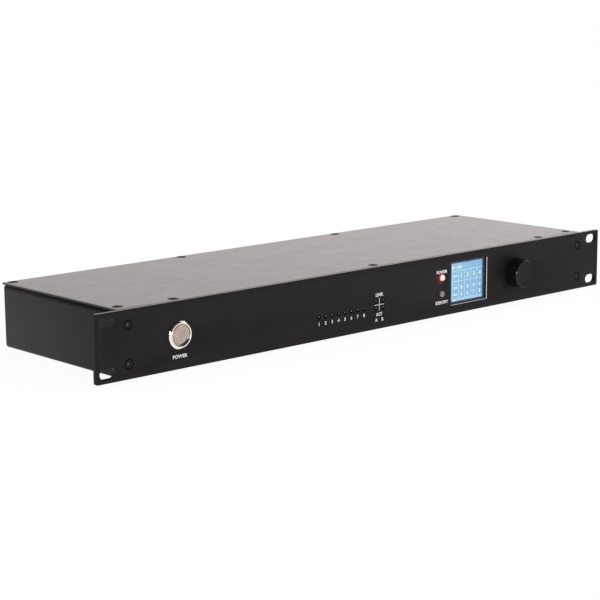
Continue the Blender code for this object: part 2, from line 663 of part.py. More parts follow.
def cover_screws():
    """Nine screws of one mesh, flush with the lid."""
    mesh = countersunk_screw((0, 0, -1), COVER_SCREW_HEAD, COVER_SCREW_HEAD_DEPTH,
                             COVER_SCREW_RADIUS, COVER_SCREW_LENGTH)
    for number, (x, y) in enumerate(cover_screw_places(), start=1):
        place_copy(f"cover_screw_{number}", mesh, (x, y, PANEL_HEIGHT))


def panel_screws():
    """Four screws of one mesh, flush with the panel's front."""
    mesh = countersunk_screw((0, 1, 0), PANEL_SCREW_HEAD, PANEL_SCREW_HEAD_DEPTH,
                             PANEL_SCREW_RADIUS, PANEL_SCREW_LENGTH)
    for number, (x, z) in enumerate(panel_screw_places(), start=1):
        place_copy(f"panel_screw_{number}", mesh, (x, PANEL_FRONT, z))


def power_button():
    """A metal push button: housing with bezel, sliding cap, and the nut behind the panel."""
    face = (BUTTON_X, PANEL_FRONT, AXIS_Z)
    bore = CAP_RADIUS + GAP
    cap_top = BEZEL_HEIGHT - CAP_RECESS
    cap_bottom = cap_top - CAP_HEIGHT
    floor = cap_bottom - CAP_TRAVEL - BUTTON_END_PLAY
    housing = turned_part("power_button_housing", [
        (bore, BEZEL_HEIGHT),
        (BEZEL_RADIUS - BEZEL_CHAMFER, BEZEL_HEIGHT),
        (BEZEL_RADIUS, BEZEL_HEIGHT - BEZEL_CHAMFER),
        (BEZEL_RADIUS, GAP),
        (BUTTON_BARREL_RADIUS, GAP),
        (BUTTON_BARREL_RADIUS, -BUTTON_BARREL_DEPTH),
        (0.0, -BUTTON_BARREL_DEPTH),
        (0.0, floor),
        (bore, floor),
    ], BRIGHT_METAL, face)
    bm = bmesh.new()
    for side in (-1, 1):
        for up in (-1, 1):
            x = side * TERMINAL_OFFSET
            y = up * TERMINAL_OFFSET
            add_block(bm, (x - TERMINAL_THICKNESS / 2, y - TERMINAL_WIDTH / 2,
                           -BUTTON_BARREL_DEPTH - TERMINAL_LENGTH),
                      (x + TERMINAL_THICKNESS / 2, y + TERMINAL_WIDTH / 2,
                       -BUTTON_BARREL_DEPTH + OVERLAP))
    join(housing, bm, "terminals")

    turned_part("power_button_cap", [
        (0.0, cap_top),
        (CAP_RADIUS - CAP_CHAMFER, cap_top),
        (CAP_RADIUS, cap_top - CAP_CHAMFER),
        (CAP_RADIUS, cap_bottom),
        (0.0, cap_bottom),
    ], BRUSHED_METAL, face)

    nut_front = CHASSIS_FRONT + CHASSIS_SHEET + GAP
    bm = bmesh.new()
    add_round(bm, (0, 0, 0), (0, BUTTON_NUT_THICKNESS, 0),
              BUTTON_NUT_FLATS / 2 / math.cos(math.pi / 6), sides=6)
    nut = new_part("power_button_nut", bm, BRIGHT_METAL, (BUTTON_X, nut_front, AXIS_Z))
    bm = bmesh.new()
    add_round(bm, (0, -OVERCUT, 0), (0, BUTTON_NUT_THICKNESS + OVERCUT, 0),
              BUTTON_BARREL_RADIUS + GAP, sides=ROUND_SIDES)
    cut(nut, bm, "bore")


def knob_and_encoder():
    """The knob on its shaft, and the push encoder that carries them behind the panel."""
    face = (KNOB_X, PANEL_FRONT, AXIS_Z)
    base = KNOB_STANDOFF
    top = base + KNOB_DEPTH
    bore = SHAFT_RADIUS + GAP
    turned_part("knob", [
        (0.0, top),
        (KNOB_FACE_RADIUS - KNOB_CHAMFER, top),
        (KNOB_FACE_RADIUS, top - KNOB_CHAMFER),
        (KNOB_BASE_RADIUS, base),
        (KNOB_RECESS_RADIUS, base),
        (KNOB_RECESS_RADIUS, base + KNOB_RECESS_DEPTH),
        (bore, base + KNOB_RECESS_DEPTH),
        (bore, base + KNOB_BORE_DEPTH),
        (0.0, base + KNOB_BORE_DEPTH),
    ], KNOB_PLASTIC, face)

    body_front = PANEL_BACK + GAP
    body_back = CONTROL_FRONT - GAP
    cavity_front = body_front + ENCODER_WALL
    cavity_back = body_back - ENCODER_WALL
    rotor_front = cavity_front + GAP
    rotor_back = rotor_front + ROTOR_THICKNESS
    shaft_front = PANEL_FRONT - base - KNOB_BORE_DEPTH + GAP
    shaft_back = min(rotor_back + KNOB_TRAVEL, cavity_back - KNOB_TRAVEL - GAP)

    bm = bmesh.new()
    add_round(bm, (0, 0, 0), (0, shaft_back - shaft_front, 0), SHAFT_RADIUS)
    new_part("encoder_shaft", bm, STEEL, (KNOB_X, shaft_front, AXIS_Z))

    turned_part("encoder_rotor", [
        (ROTOR_RADIUS, ROTOR_THICKNESS),
        (ROTOR_RADIUS, 0.0),
        (bore, 0.0),
        (bore, ROTOR_THICKNESS),
    ], BLACK_PLASTIC, (KNOB_X, rotor_back, AXIS_Z), SMALL_SIDES)

    half = ENCODER_BODY_SIZE / 2
    bm = bmesh.new()
    add_block(bm, (-half, body_front, -half), (half, body_back, half))
    body = new_part("encoder_body", bm, STEEL, (KNOB_X, 0.0, AXIS_Z))
    bm = bmesh.new()
    add_round(bm, (0, PANEL_FRONT - BUSH_PROUD, 0), (0, body_front + OVERLAP, 0), BUSH_RADIUS)
    join(body, bm, "bush")
    bm = bmesh.new()
    add_round(bm, (0, cavity_front, 0), (0, cavity_back, 0), ROTOR_RADIUS + GAP)
    cut(body, bm, "cavity")
    bm = bmesh.new()
    add_round(bm, (0, PANEL_FRONT - BUSH_PROUD - OVERCUT, 0), (0, cavity_front + OVERCUT, 0), bore)
    cut(body, bm, "bore")

    bm = bmesh.new()
    add_round(bm, (0, -ENCODER_NUT_THICKNESS, 0), (0, 0, 0),
              ENCODER_NUT_FLATS / 2 / math.cos(math.pi / 6), sides=6)
    nut = new_part("encoder_nut", bm, BRASS, (KNOB_X, PANEL_FRONT - GAP, AXIS_Z))
    bm = bmesh.new()
    add_round(bm, (0, -ENCODER_NUT_THICKNESS - OVERCUT, 0), (0, OVERCUT, 0), BUSH_RADIUS + GAP)
    cut(nut, bm, "bore")


def display():
    """The thick clear pane that fills the panel's window, and the display module behind it."""
    half_width = WINDOW_WIDTH / 2 - GAP
    half_height = WINDOW_HEIGHT / 2 - GAP
    bm = bmesh.new()
    add_block(bm, (-half_width, PANEL_FRONT + WINDOW_RECESS, -half_height),
              (half_width, PANEL_BACK, half_height), "Y", WINDOW_CORNER, SMALL_CORNER_STEPS)
    new_part("lcd_window", bm, WINDOW_GLASS, (WINDOW_X, 0.0, AXIS_Z))

    bm = bmesh.new()
    add_block(bm, (-MODULE_WIDTH / 2, PANEL_BACK + GAP, -MODULE_HEIGHT / 2),
              (MODULE_WIDTH / 2, CONTROL_FRONT - GAP, MODULE_HEIGHT / 2))
    new_part("lcd_module", bm, SCREEN_GLASS, (MODULE_X, 0.0, AXIS_Z))


def light_pipes(name, places, left, right, low, high):
    """A clear bar behind the panel with a short pipe into each lamp hole."""
    bm = bmesh.new()
    add_block(bm, (left, PANEL_BACK + GAP, low), (right, CONTROL_FRONT - GAP, high))
    bar = new_part(name, bm, CLEAR_PLASTIC)
    bm = bmesh.new()
    for x, z in places:
        add_round(bm, (x, PANEL_FRONT + PIPE_RECESS, z), (x, PANEL_BACK + GAP + OVERLAP, z),
                  PIPE_RADIUS, sides=HIDDEN_SIDES)
    join(bar, bm, "pipes")


def lamps():
    """Light pipes for the port and link lamps, and the two round status lamps."""
    port_z = AXIS_Z - PORT_LAMPS_BELOW_CENTRE
    xs = port_lamp_places()
    margin = PIPE_RADIUS + PIPE_BAR_MARGIN
    light_pipes("port_light_pipes", [(x, port_z) for x in xs],
                xs[0] - margin, xs[-1] + margin, port_z - margin, port_z + margin)
    link_z = AXIS_Z - LINK_LAMPS_BELOW_CENTRE
    half_x = LINK_LAMP_SPACING_X / 2 + margin
    half_z = LINK_LAMP_SPACING_Z / 2 + margin
    light_pipes("link_light_pipes", link_lamp_places(), -half_x, half_x,
                link_z - half_z, link_z + half_z)

    spacer = CONTROL_BOARD_STANDOFF - GAP
    dome_base = GAP + PANEL_THICKNESS + STATUS_LAMP_PROUD - STATUS_LAMP_RADIUS
    angles = [math.pi / 2 * (1 - i / DOME_STEPS) for i in range(DOME_STEPS + 1)]
    dome = [(STATUS_LAMP_RADIUS * math.cos(angle) if angle < math.pi / 2 else 0.0,
             dome_base + STATUS_LAMP_RADIUS * math.sin(angle)) for angle in angles]
    for name, up, material in (("power_led", 1, RED_LAMP), ("identify_led", -1, GREY_LAMP)):
        turned_part(name, [
            *dome,
            (STATUS_LAMP_RADIUS, 0.0),
            (STATUS_LAMP_FLANGE, 0.0),
            (STATUS_LAMP_FLANGE, -spacer),
            (0.0, -spacer),
        ], material, (STATUS_LAMP_X, PANEL_BACK + GAP, AXIS_Z + up * STATUS_LAMP_OFFSET), SMALL_SIDES)


def control_board():
    """The board behind the panel that carries the display, encoder and lamps."""
    half = CONTROL_BOARD_HEIGHT / 2
    bm = bmesh.new()
    add_block(bm, (CONTROL_LEFT, CONTROL_FRONT, AXIS_Z - half),
              (CONTROL_RIGHT, CONTROL_BACK, AXIS_Z + half))
    board = new_part("control_board", bm, BOARD_GREEN)
    bm = bmesh.new()
    add_block(bm, (RIBBON_X - RIBBON_WIDTH / 2 - GAP, CONTROL_BACK - OVERLAP, AXIS_Z - PLUG_HEIGHT / 2),
              (RIBBON_X + RIBBON_WIDTH / 2 + GAP, CONTROL_BACK + PLUG_DEPTH / 2, AXIS_Z + PLUG_HEIGHT / 2))
    join(board, bm, "header")


def add_component(bm, x, y, width, depth, height):
    """Add a box that stands on a board, centred on x and y."""
    add_block(bm, (x - width / 2, y - depth / 2, BOARD_TOP - OVERLAP),
              (x + width / 2, y + depth / 2, BOARD_TOP + height))


def add_capacitor(bm, x, y, radius, height):
    """Add a round capacitor that stands on a board."""
    add_round(bm, (x, y, BOARD_TOP - OVERLAP), (x, y, BOARD_TOP + height), radius, sides=SMALL_SIDES)


def main_board():
    """The main board: processor, a driver for each outlet, capacitors and wire headers."""
    bm = bmesh.new()
    add_block(bm, (MAIN_LEFT, MAIN_FRONT, BOARD_BOTTOM), (MAIN_RIGHT, MAIN_BACK, BOARD_TOP))
    board = new_part("main_board", bm, BOARD_GREEN)
    bm = bmesh.new()
    add_component(bm, 0.0, MAIN_MIDDLE_Y, PROCESSOR_SIZE, PROCESSOR_SIZE, PROCESSOR_HEIGHT)
    driver_y = MAIN_BACK - DRIVER_FROM_EDGE - DRIVER_DEPTH / 2
    for x in socket_places(OUTLET_FIRST_X, OUTLET_PITCH, OUTLET_COUNT):
        add_component(bm, x, driver_y, DRIVER_WIDTH, DRIVER_DEPTH, DRIVER_HEIGHT)
    for i in range(CAPACITOR_COUNT):
        add_capacitor(bm, MAIN_RIGHT - CAPACITORS_FROM_END - CAPACITOR_PITCH * i,
                      MAIN_MIDDLE_Y - CAPACITOR_PITCH, CAPACITOR_RADIUS, CAPACITOR_HEIGHT)
    add_component(bm, RIBBON_X, MAIN_FRONT + PLUG_INSET + PLUG_DEPTH / 2,
                  RIBBON_WIDTH + 2 * GAP, PLUG_DEPTH, PLUG_HEIGHT)
    add_component(bm, MAIN_LEFT + PLUG_INSET + PLUG_DEPTH / 2, MAIN_MIDDLE_Y,
                  PLUG_DEPTH, PLUG_WIDTH, PLUG_HEIGHT)
    join(board, bm, "components")


def power_supply():
    """The mains power supply board: transformer, capacitors, heat sink and wire headers."""
    bm = bmesh.new()
    add_block(bm, (SUPPLY_LEFT, SUPPLY_FRONT, BOARD_BOTTOM), (SUPPLY_RIGHT, SUPPLY_BACK, BOARD_TOP))
    board = new_part("power_supply", bm, BOARD_GREEN)
    middle_x = (SUPPLY_LEFT + SUPPLY_RIGHT) / 2
    middle_y = (SUPPLY_FRONT + SUPPLY_BACK) / 2
    bm = bmesh.new()
    add_component(bm, middle_x, middle_y, TRANSFORMER_WIDTH, TRANSFORMER_DEPTH, TRANSFORMER_HEIGHT)
    for side in (-1, 1):
        add_capacitor(bm, SUPPLY_LEFT + MAINS_CAPACITORS_FROM_END,
                      middle_y + side * MAINS_CAPACITOR_PITCH / 2,
                      MAINS_CAPACITOR_RADIUS, MAINS_CAPACITOR_HEIGHT)
    add_component(bm, SUPPLY_RIGHT - HEAT_SINK_FROM_END, middle_y,
                  HEAT_SINK_THICKNESS, HEAT_SINK_LENGTH, HEAT_SINK_HEIGHT)
    plug_middle = PLUG_INSET + PLUG_DEPTH / 2
    add_component(bm, INLET_X, SUPPLY_BACK - plug_middle, PLUG_WIDTH, PLUG_DEPTH, PLUG_HEIGHT)
    add_component(bm, BUTTON_X, SUPPLY_FRONT + plug_middle, PLUG_WIDTH, PLUG_DEPTH, PLUG_HEIGHT)
    add_component(bm, SUPPLY_RIGHT - plug_middle, MAIN_MIDDLE_Y, PLUG_DEPTH, PLUG_WIDTH, PLUG_HEIGHT)
    join(board, bm, "components")


def socket_body(name, material, bore_radius, bore_depth):
    """Flange, collar and barrel of a round socket, bored from outside, with a latch pocket.

    The frame is local: Y = 0 is the flange's seat on the wall, and +Y points out of the wall.
    """
    bm = bmesh.new()
    add_block(bm, (-FLANGE_WIDTH / 2, 0, -FLANGE_HEIGHT / 2),
              (FLANGE_WIDTH / 2, FLANGE_THICKNESS, FLANGE_HEIGHT / 2),
              "Y", FLANGE_CORNER, SMALL_CORNER_STEPS)
    body = new_part(name, bm, material)
    bm = bmesh.new()
    add_round(bm, (0, -BARREL_DEPTH, 0), (0, FLANGE_THICKNESS / 2, 0), BARREL_RADIUS,
              sides=SOCKET_SIDES)
    join(body, bm, "barrel")
    bm = bmesh.new()
    add_round(bm, (0, FLANGE_THICKNESS / 2, 0), (0, FLANGE_THICKNESS + COLLAR_HEIGHT, 0),
              COLLAR_RADIUS, sides=SOCKET_SIDES)
    join(body, bm, "collar")
    bm = bmesh.new()
    for side in (-1, 1):
        x = side * FLANGE_SCREW_X
        z = -side * FLANGE_SCREW_Z
        add_round(bm, (x, FLANGE_THICKNESS - OVERLAP, z),
                  (x, FLANGE_THICKNESS + FLANGE_SCREW_HEIGHT, z),
                  FLANGE_SCREW_RADIUS, FLANGE_SCREW_TOP, sides=HIDDEN_SIDES)
    join(body, bm, "screw_heads")
    bm = bmesh.new()
    add_round(bm, (0, -bore_depth, 0), (0, FLANGE_THICKNESS + COLLAR_HEIGHT + OVERCUT, 0),
              bore_radius, sides=SOCKET_SIDES)
    cut(body, bm, "bore")
    bm = bmesh.new()
    add_block(bm, (-LATCH_WIDTH / 2 - GAP, POCKET_FLOOR, LATCH_LOW - GAP),
              (LATCH_WIDTH / 2 + GAP, FLANGE_THICKNESS + COLLAR_HEIGHT + OVERCUT, LATCH_HIGH + GAP))
    cut(body, bm, "latch_pocket")
    bm = bmesh.new()
    add_block(bm, (-LATCH_STEM_WIDTH / 2 - GAP, -LATCH_STEM_DEPTH - LATCH_TRAVEL - BUTTON_END_PLAY,
                   LATCH_LOW - LATCH_STEM_DROP),
              (LATCH_STEM_WIDTH / 2 + GAP, POCKET_FLOOR + OVERCUT,
               LATCH_LOW + LATCH_STEM_THICKNESS + GAP))
    cut(body, bm, "stem_slot")
    return body


def latch_mesh():
    """The push tab of a socket and the stem that goes down into the socket's wall."""
    low = POCKET_FLOOR + GAP + LATCH_TRAVEL
    bm = bmesh.new()
    add_block(bm, (-LATCH_WIDTH / 2, low, LATCH_LOW), (LATCH_WIDTH / 2, low + LATCH_THICKNESS, LATCH_HIGH))
    latch = new_part("latch_pattern", bm, BRIGHT_METAL)
    bm = bmesh.new()
    add_block(bm, (-LATCH_STEM_WIDTH / 2, -LATCH_STEM_DEPTH, LATCH_LOW),
              (LATCH_STEM_WIDTH / 2, low + OVERLAP, LATCH_LOW + LATCH_STEM_THICKNESS))
    join(latch, bm, "stem")
    return freeze(latch)


def data_outlets(latch):
    """Eight five-pole outlets in a row, each with its release latch."""
    outlet = socket_body("outlet_pattern", BLACK_PLASTIC, OUTLET_BORE_RADIUS, OUTLET_BORE_DEPTH)
    insert_top = FLANGE_THICKNESS + COLLAR_HEIGHT - INSERT_RECESS
    bm = bmesh.new()
    add_round(bm, (0, -OUTLET_BORE_DEPTH - OVERLAP, 0), (0, insert_top, 0), INSERT_RADIUS,
              sides=SOCKET_SIDES)
    join(outlet, bm, "insert")
    bm = bmesh.new()
    for i in range(CONTACT_COUNT):
        angle = CONTACT_STEP * (i - (CONTACT_COUNT - 1) / 2) - math.pi / 2
        x = CONTACT_CIRCLE * math.cos(angle)
        z = CONTACT_CIRCLE * math.sin(angle)
        add_round(bm, (x, insert_top - CONTACT_DEPTH, z), (x, insert_top + OVERCUT, z),
                  CONTACT_RADIUS, sides=PIN_SIDES)
    cut(outlet, bm, "contacts")
    mesh = freeze(outlet)
    for number, x in enumerate(socket_places(OUTLET_FIRST_X, OUTLET_PITCH, OUTLET_COUNT), start=1):
        place_copy(f"data_outlet_{number}", mesh, (x, SEAT, AXIS_Z))
        place_copy(f"outlet_latch_{number}", latch, (x, SEAT, AXIS_Z))


def network_sockets(latch):
    """Two locking network sockets: a round bore with a modular jack at its bottom."""
    socket = socket_body("network_pattern", BLACK_PLASTIC, NETWORK_BORE_RADIUS, NETWORK_BORE_DEPTH)
    bm = bmesh.new()
    add_block(bm, (-JACK_WIDTH / 2, -NETWORK_BORE_DEPTH - JACK_DEPTH, -JACK_HEIGHT / 2),
              (JACK_WIDTH / 2, -NETWORK_BORE_DEPTH + OVERCUT, JACK_HEIGHT / 2))
    cut(socket, bm, "jack")
    mesh = freeze(socket)
    for letter, x in zip("ab", socket_places(NETWORK_FIRST_X, NETWORK_PITCH, NETWORK_COUNT)):
        place_copy(f"network_socket_{letter}", mesh, (x, SEAT, AXIS_Z))
        place_copy(f"network_latch_{letter}", latch, (x, SEAT, AXIS_Z))


def power_inlet():
    """The three-pin mains inlet, with its flange on the wall and its pins in the mouth."""
    bm = bmesh.new()
    add_block(bm, (-INLET_FLANGE_WIDTH / 2, 0, -INLET_FLANGE_HEIGHT / 2),
              (INLET_FLANGE_WIDTH / 2, INLET_FLANGE_THICKNESS, INLET_FLANGE_HEIGHT / 2),
              "Y", FLANGE_CORNER)
    inlet = new_part("power_inlet", bm, BLACK_PLASTIC, (INLET_X, SEAT, AXIS_Z))
    bm = bmesh.new()
    add_block(bm, (-INLET_BODY_WIDTH / 2, -INLET_BODY_DEPTH, -INLET_BODY_HEIGHT / 2),
              (INLET_BODY_WIDTH / 2, INLET_FLANGE_THICKNESS / 2, INLET_BODY_HEIGHT / 2))
    join(inlet, bm, "body")
    bm = bmesh.new()
    for side in (-1, 1):
        x = side * INLET_SCREW_SPACING / 2
        add_round(bm, (x, INLET_FLANGE_THICKNESS - OVERLAP, 0),
                  (x, INLET_FLANGE_THICKNESS + FLANGE_SCREW_HEIGHT, 0),
                  FLANGE_SCREW_RADIUS, FLANGE_SCREW_TOP, sides=HIDDEN_SIDES)
    join(inlet, bm, "screw_heads")
    mouth_floor = INLET_FLANGE_THICKNESS - INLET_MOUTH_DEPTH
    bm = bmesh.new()
    add_block(bm, (-INLET_MOUTH_WIDTH / 2, mouth_floor, -INLET_MOUTH_HEIGHT / 2),
              (INLET_MOUTH_WIDTH / 2, INLET_FLANGE_THICKNESS + OVERCUT, INLET_MOUTH_HEIGHT / 2),
              "Y", INLET_MOUTH_CORNER, 1)
    cut(inlet, bm, "mouth")
    bm = bmesh.new()
    for x, z in ((-INLET_PIN_SPACING / 2, 0.0), (0.0, EARTH_PIN_RAISE), (INLET_PIN_SPACING / 2, 0.0)):
        add_block(bm, (x - INLET_PIN_WIDTH / 2, mouth_floor - OVERLAP, z - INLET_PIN_HEIGHT / 2),
                  (x + INLET_PIN_WIDTH / 2, mouth_floor + INLET_PIN_LENGTH, z + INLET_PIN_HEIGHT / 2))
    join(inlet, bm, "pins")


def smooth_path(start, first, second, end, count):
    """Points on the cubic curve with the two given ends and the two given handles."""
    places = []
    for i in range(count):
        t = i / (count - 1)
        places.append((1 - t) ** 3 * start + 3 * t * (1 - t) ** 2 * first
                      + 3 * t * t * (1 - t) * second + t ** 3 * end)
    return places


def wire(name, start, end, axis):
    """A round wire bundle on one smooth curve, which leaves and arrives along one axis."""
    start = Vector(start)
    end = Vector(end)
    axis = Vector(axis)
    curve = bpy.data.curves.new(name, "CURVE")
    curve.dimensions = "3D"
    curve.bevel_depth = WIRE_RADIUS
    curve.bevel_resolution = 2
    curve.use_fill_caps = True
    curve.materials.append(WIRE_BLACK)
    spline = curve.splines.new("POLY")
    near = start + axis * LEAD_LENGTH
    far = end - axis * LEAD_LENGTH
    sweep = axis * min(WIRE_SWEEP, (end - start).length / 3)
    places = [start, *smooth_path(near, near + sweep, far - sweep, far, CURVE_POINTS), end]
    spline.points.add(len(places) - 1)
    for point, place in zip(spline.points, places):
        point.co = (*place, 1.0)
    PARTS.objects.link(bpy.data.objects.new(name, curve))


def wiring():
    """Wire bundles from the inlet, the button and to the main board, and the flat ribbon."""
    wire("mains_harness", (INLET_X, SUPPLY_BACK - PLUG_INSET + GAP, PLUG_Z),
         (INLET_X, SEAT - INLET_BODY_DEPTH - GAP, AXIS_Z), (0, 1, 0))
    wire("button_harness", (BUTTON_X, BUTTON_INNER_END + TERMINAL_LENGTH + GAP, AXIS_Z),
         (BUTTON_X, SUPPLY_FRONT + PLUG_INSET - GAP, PLUG_Z), (0, 1, 0))
    wire("dc_harness", (SUPPLY_RIGHT - PLUG_INSET + GAP, MAIN_MIDDLE_Y, PLUG_Z),
         (MAIN_LEFT + PLUG_INSET - GAP, MAIN_MIDDLE_Y, PLUG_Z), (1, 0, 0))

    start = Vector((0, CONTROL_BACK + PLUG_DEPTH / 2 + GAP, AXIS_Z))
    end = Vector((0, MAIN_FRONT + PLUG_INSET - GAP, PLUG_Z))
    reach = Vector((0, RIBBON_SWEEP, 0))
    half = Vector((RIBBON_WIDTH / 2, 0, 0))
    bm = bmesh.new()
    rows = [(bm.verts.new(place - half), bm.verts.new(place + half))
            for place in smooth_path(start, start + reach, end - reach, end, CURVE_POINTS)]
    for (a, b), (c, d) in zip(rows, rows[1:]):
        bm.faces.new((a, b, d, c))
    ribbon = new_part("display_ribbon", bm, RIBBON_GREY, (RIBBON_X, 0.0, 0.0))
    solidify = ribbon.modifiers.new("thickness", "SOLIDIFY")
    solidify.thickness = RIBBON_THICKNESS
    solidify.offset = 0.0


front_panel()
chassis_tray()
top_cover()
cover_screws()
panel_screws()
power_button()
knob_and_encoder()
display()
lamps()
control_board()
main_board()
power_supply()
latch = latch_mesh()
data_outlets(latch)
network_sockets(latch)
power_inlet()
wiring()
bpy.context.view_layer.update()
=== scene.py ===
# %% [markdown]
# # A lighting network node, dressed
# The node is a flat black box that screws into a rack. Its CAD model is loaded first and stays where
# it is: it says where every plate, hole, lamp and socket lies. Everything below either gives one of
# those solids a finish or lays a finer surface over it.

# %% Load the frame
import math

import bmesh
import bpy
import numpy as np
from mathutils import Matrix, Vector


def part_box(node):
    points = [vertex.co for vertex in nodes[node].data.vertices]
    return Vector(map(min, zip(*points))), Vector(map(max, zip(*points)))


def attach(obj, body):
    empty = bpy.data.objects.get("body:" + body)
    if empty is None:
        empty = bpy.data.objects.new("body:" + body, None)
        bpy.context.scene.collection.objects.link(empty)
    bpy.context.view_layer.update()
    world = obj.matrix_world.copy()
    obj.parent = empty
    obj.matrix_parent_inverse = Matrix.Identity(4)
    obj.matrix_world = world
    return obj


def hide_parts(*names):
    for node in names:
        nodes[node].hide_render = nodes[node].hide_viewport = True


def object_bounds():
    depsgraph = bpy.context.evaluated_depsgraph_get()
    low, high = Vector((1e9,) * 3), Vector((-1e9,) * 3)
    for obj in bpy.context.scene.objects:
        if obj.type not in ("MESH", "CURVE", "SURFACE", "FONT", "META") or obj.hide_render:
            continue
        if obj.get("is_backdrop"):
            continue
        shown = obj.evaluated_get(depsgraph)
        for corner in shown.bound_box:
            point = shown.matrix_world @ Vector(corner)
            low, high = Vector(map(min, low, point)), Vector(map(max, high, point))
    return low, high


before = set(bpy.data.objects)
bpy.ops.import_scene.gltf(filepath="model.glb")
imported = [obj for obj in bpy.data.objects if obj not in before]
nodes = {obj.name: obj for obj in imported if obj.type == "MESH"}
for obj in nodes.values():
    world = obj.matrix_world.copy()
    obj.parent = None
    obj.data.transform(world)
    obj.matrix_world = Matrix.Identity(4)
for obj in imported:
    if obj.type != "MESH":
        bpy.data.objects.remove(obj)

MM = 0.001
cad_low, cad_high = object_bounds()
print("CAD box in mm:", [round((h - l) / MM, 1) for l, h in zip(cad_low, cad_high)])

# %% [markdown]
# The photograph is taken from the front left, a little above the lid. A long lens keeps the two ends
# of the box nearly the same height, so the camera stands more than a metre away and is turned 42
# degrees to the right. Its place was worked out from the panel's known width and slot spacing.

# %% Camera
CAMERA_PLACE = (-828.8 * MM, -905.1 * MM, 250.0 * MM)
CAMERA_YAW = 42.02
CAMERA_PITCH = -11.02
CAMERA_ROLL = -0.45
LENS_MM = 103.35
SENSOR_MM = 36.0

camera_data = bpy.data.cameras.new("camera")
camera_data.lens = LENS_MM
camera_data.sensor_width = SENSOR_MM
camera_data.clip_start = 0.05
camera = bpy.data.objects.new("camera", camera_data)
camera.matrix_world = (Matrix.Translation(CAMERA_PLACE)
                       @ Matrix.Rotation(math.radians(-CAMERA_YAW), 4, "Z")
                       @ Matrix.Rotation(math.radians(90 + CAMERA_PITCH), 4, "X")
                       @ Matrix.Rotation(math.radians(CAMERA_ROLL), 4, "Z"))
bpy.context.scene.collection.objects.link(camera)
bpy.context.scene.camera = camera
print("camera stands", round(Vector(CAMERA_PLACE).length, 3), "m from the chassis floor's centre")

# %% [markdown]
# Shader maths reads best as maths. `Wire` holds the output of a node and gives it Python's operators,
# so that `0.3 + 0.1 * noise` adds the two Math nodes by itself. `Graph` adds any other node by its
# type, its settings and its inputs, and `Finish` is the graph of a material with a Principled shader.

# %% Materials as expressions
# The Mix node has sockets of each kind of data. These are the numbers of those for colours.
MIX_FACTOR, MIX_LOW, MIX_HIGH, MIX_RESULT = 0, 6, 7, 2


class Wire:
    """The output of a shader node, with arithmetic that adds Math nodes."""

    def __init__(self, graph, socket):
        self.graph = graph
        self.socket = socket

    def math(self, operation, other):
        """A Math node on this wire and another wire or number."""
        return self.graph.math(operation, self, other)

    def __add__(self, other):
        return self.math("ADD", other)

    def __sub__(self, other):
        return self.math("SUBTRACT", other)

    def __rsub__(self, other):
        return self.graph.math("SUBTRACT", other, self)

    def __mul__(self, other):
        return self.math("MULTIPLY", other)

    def __truediv__(self, other):
        return self.math("DIVIDE", other)

    def __pow__(self, other):
        return self.math("POWER", other)

    def __abs__(self):
        return self.graph.math("ABSOLUTE", self)

    __radd__ = __add__
    __rmul__ = __mul__

    def between(self, low, high):
        """0 at low, 1 at high, and held at 0 and 1 beyond them."""
        ramp = {"From Min": low, "From Max": high, "Value": self}
        return self.graph.node("ShaderNodeMapRange", {"clamp": True}, ramp, "Result")


class Graph:
    """A node tree, built up node by node."""

    def __init__(self, tree):
        self.tree = tree

    def feed(self, socket, value):
        """Link a wire to a socket, or set the socket to a value."""
        if isinstance(value, Wire):
            self.tree.links.new(value.socket, socket)
        elif socket.type == "RGBA":
            socket.default_value = (*value, 1.0)
        else:
            socket.default_value = value

    def node(self, kind, settings=None, inputs=None, output=0):
        """Add any node: its settings first, then the values or wires of its sockets."""
        node = self.tree.nodes.new(kind)
        for name, value in (settings or {}).items():
            setattr(node, name, value)
        for name, value in (inputs or {}).items():
            self.feed(node.inputs[name], value)
        return Wire(self, node.outputs[output])

    def math(self, operation, *values):
        """A Math node on wires and numbers."""
        return self.node("ShaderNodeMath", {"operation": operation}, dict(enumerate(values)))

    def blend(self, factor, low, high):
        """The colour low where the factor is 0, high where it is 1."""
        inputs = {MIX_FACTOR: factor, MIX_LOW: low, MIX_HIGH: high}
        return self.node("ShaderNodeMix", {"data_type": "RGBA"}, inputs, MIX_RESULT)


class Finish(Graph):
    """The graph of a new material with a Principled shader."""

    def __init__(self, name, color, roughness, metallic=0.0, **constants):
        self.material = bpy.data.materials.new(name)
        self.material.use_nodes = True
        super().__init__(self.material.node_tree)
        self.shader = self.tree.nodes["Principled BSDF"]
        self.set(base_color=color, roughness=roughness, metallic=metallic, **constants)

    def set(self, **values):
        """Set the shader's sockets, named in lower case with low lines."""
        for name, value in values.items():
            label = name.replace("_", " ").title().replace("Ior", "IOR")
            self.feed(self.shader.inputs[label], value)

    def here(self):
        """Object coordinates, in metres."""
        return self.node("ShaderNodeTexCoord", output="Object")

    def noise(self, scale, detail=2.0, stretch=(1.0, 1.0, 1.0), roughness=0.5):
        """Soft noise from 0 to 1, with this many lumps to the metre."""
        place = self.node("ShaderNodeMapping", {}, {"Vector": self.here(), "Scale": stretch})
        return self.node("ShaderNodeTexNoise", {}, {"Vector": place, "Scale": scale, "Detail": detail,
                                                    "Roughness": roughness})

    def axis(self, name):
        """One object coordinate, in metres."""
        return self.node("ShaderNodeSeparateXYZ", {}, {0: self.here()}, name)

    def from_axis(self, x, z):
        """The distance from a line along Y: the root of the sum of both offsets' squares."""
        across = self.axis("X") - x
        up = self.axis("Z") - z
        return (across * across + up * up) ** 0.5

    def attribute(self, name):
        """A number that the mesh holds at each point."""
        return self.node("ShaderNodeAttribute", {"attribute_name": name}, output="Fac")

    def bump(self, height, distance):
        """Raise the surface by the height, distance metres at its most."""
        self.set(normal=self.node("ShaderNodeBump", {}, {"Height": height, "Distance": distance,
                                                         "Strength": 1.0}))


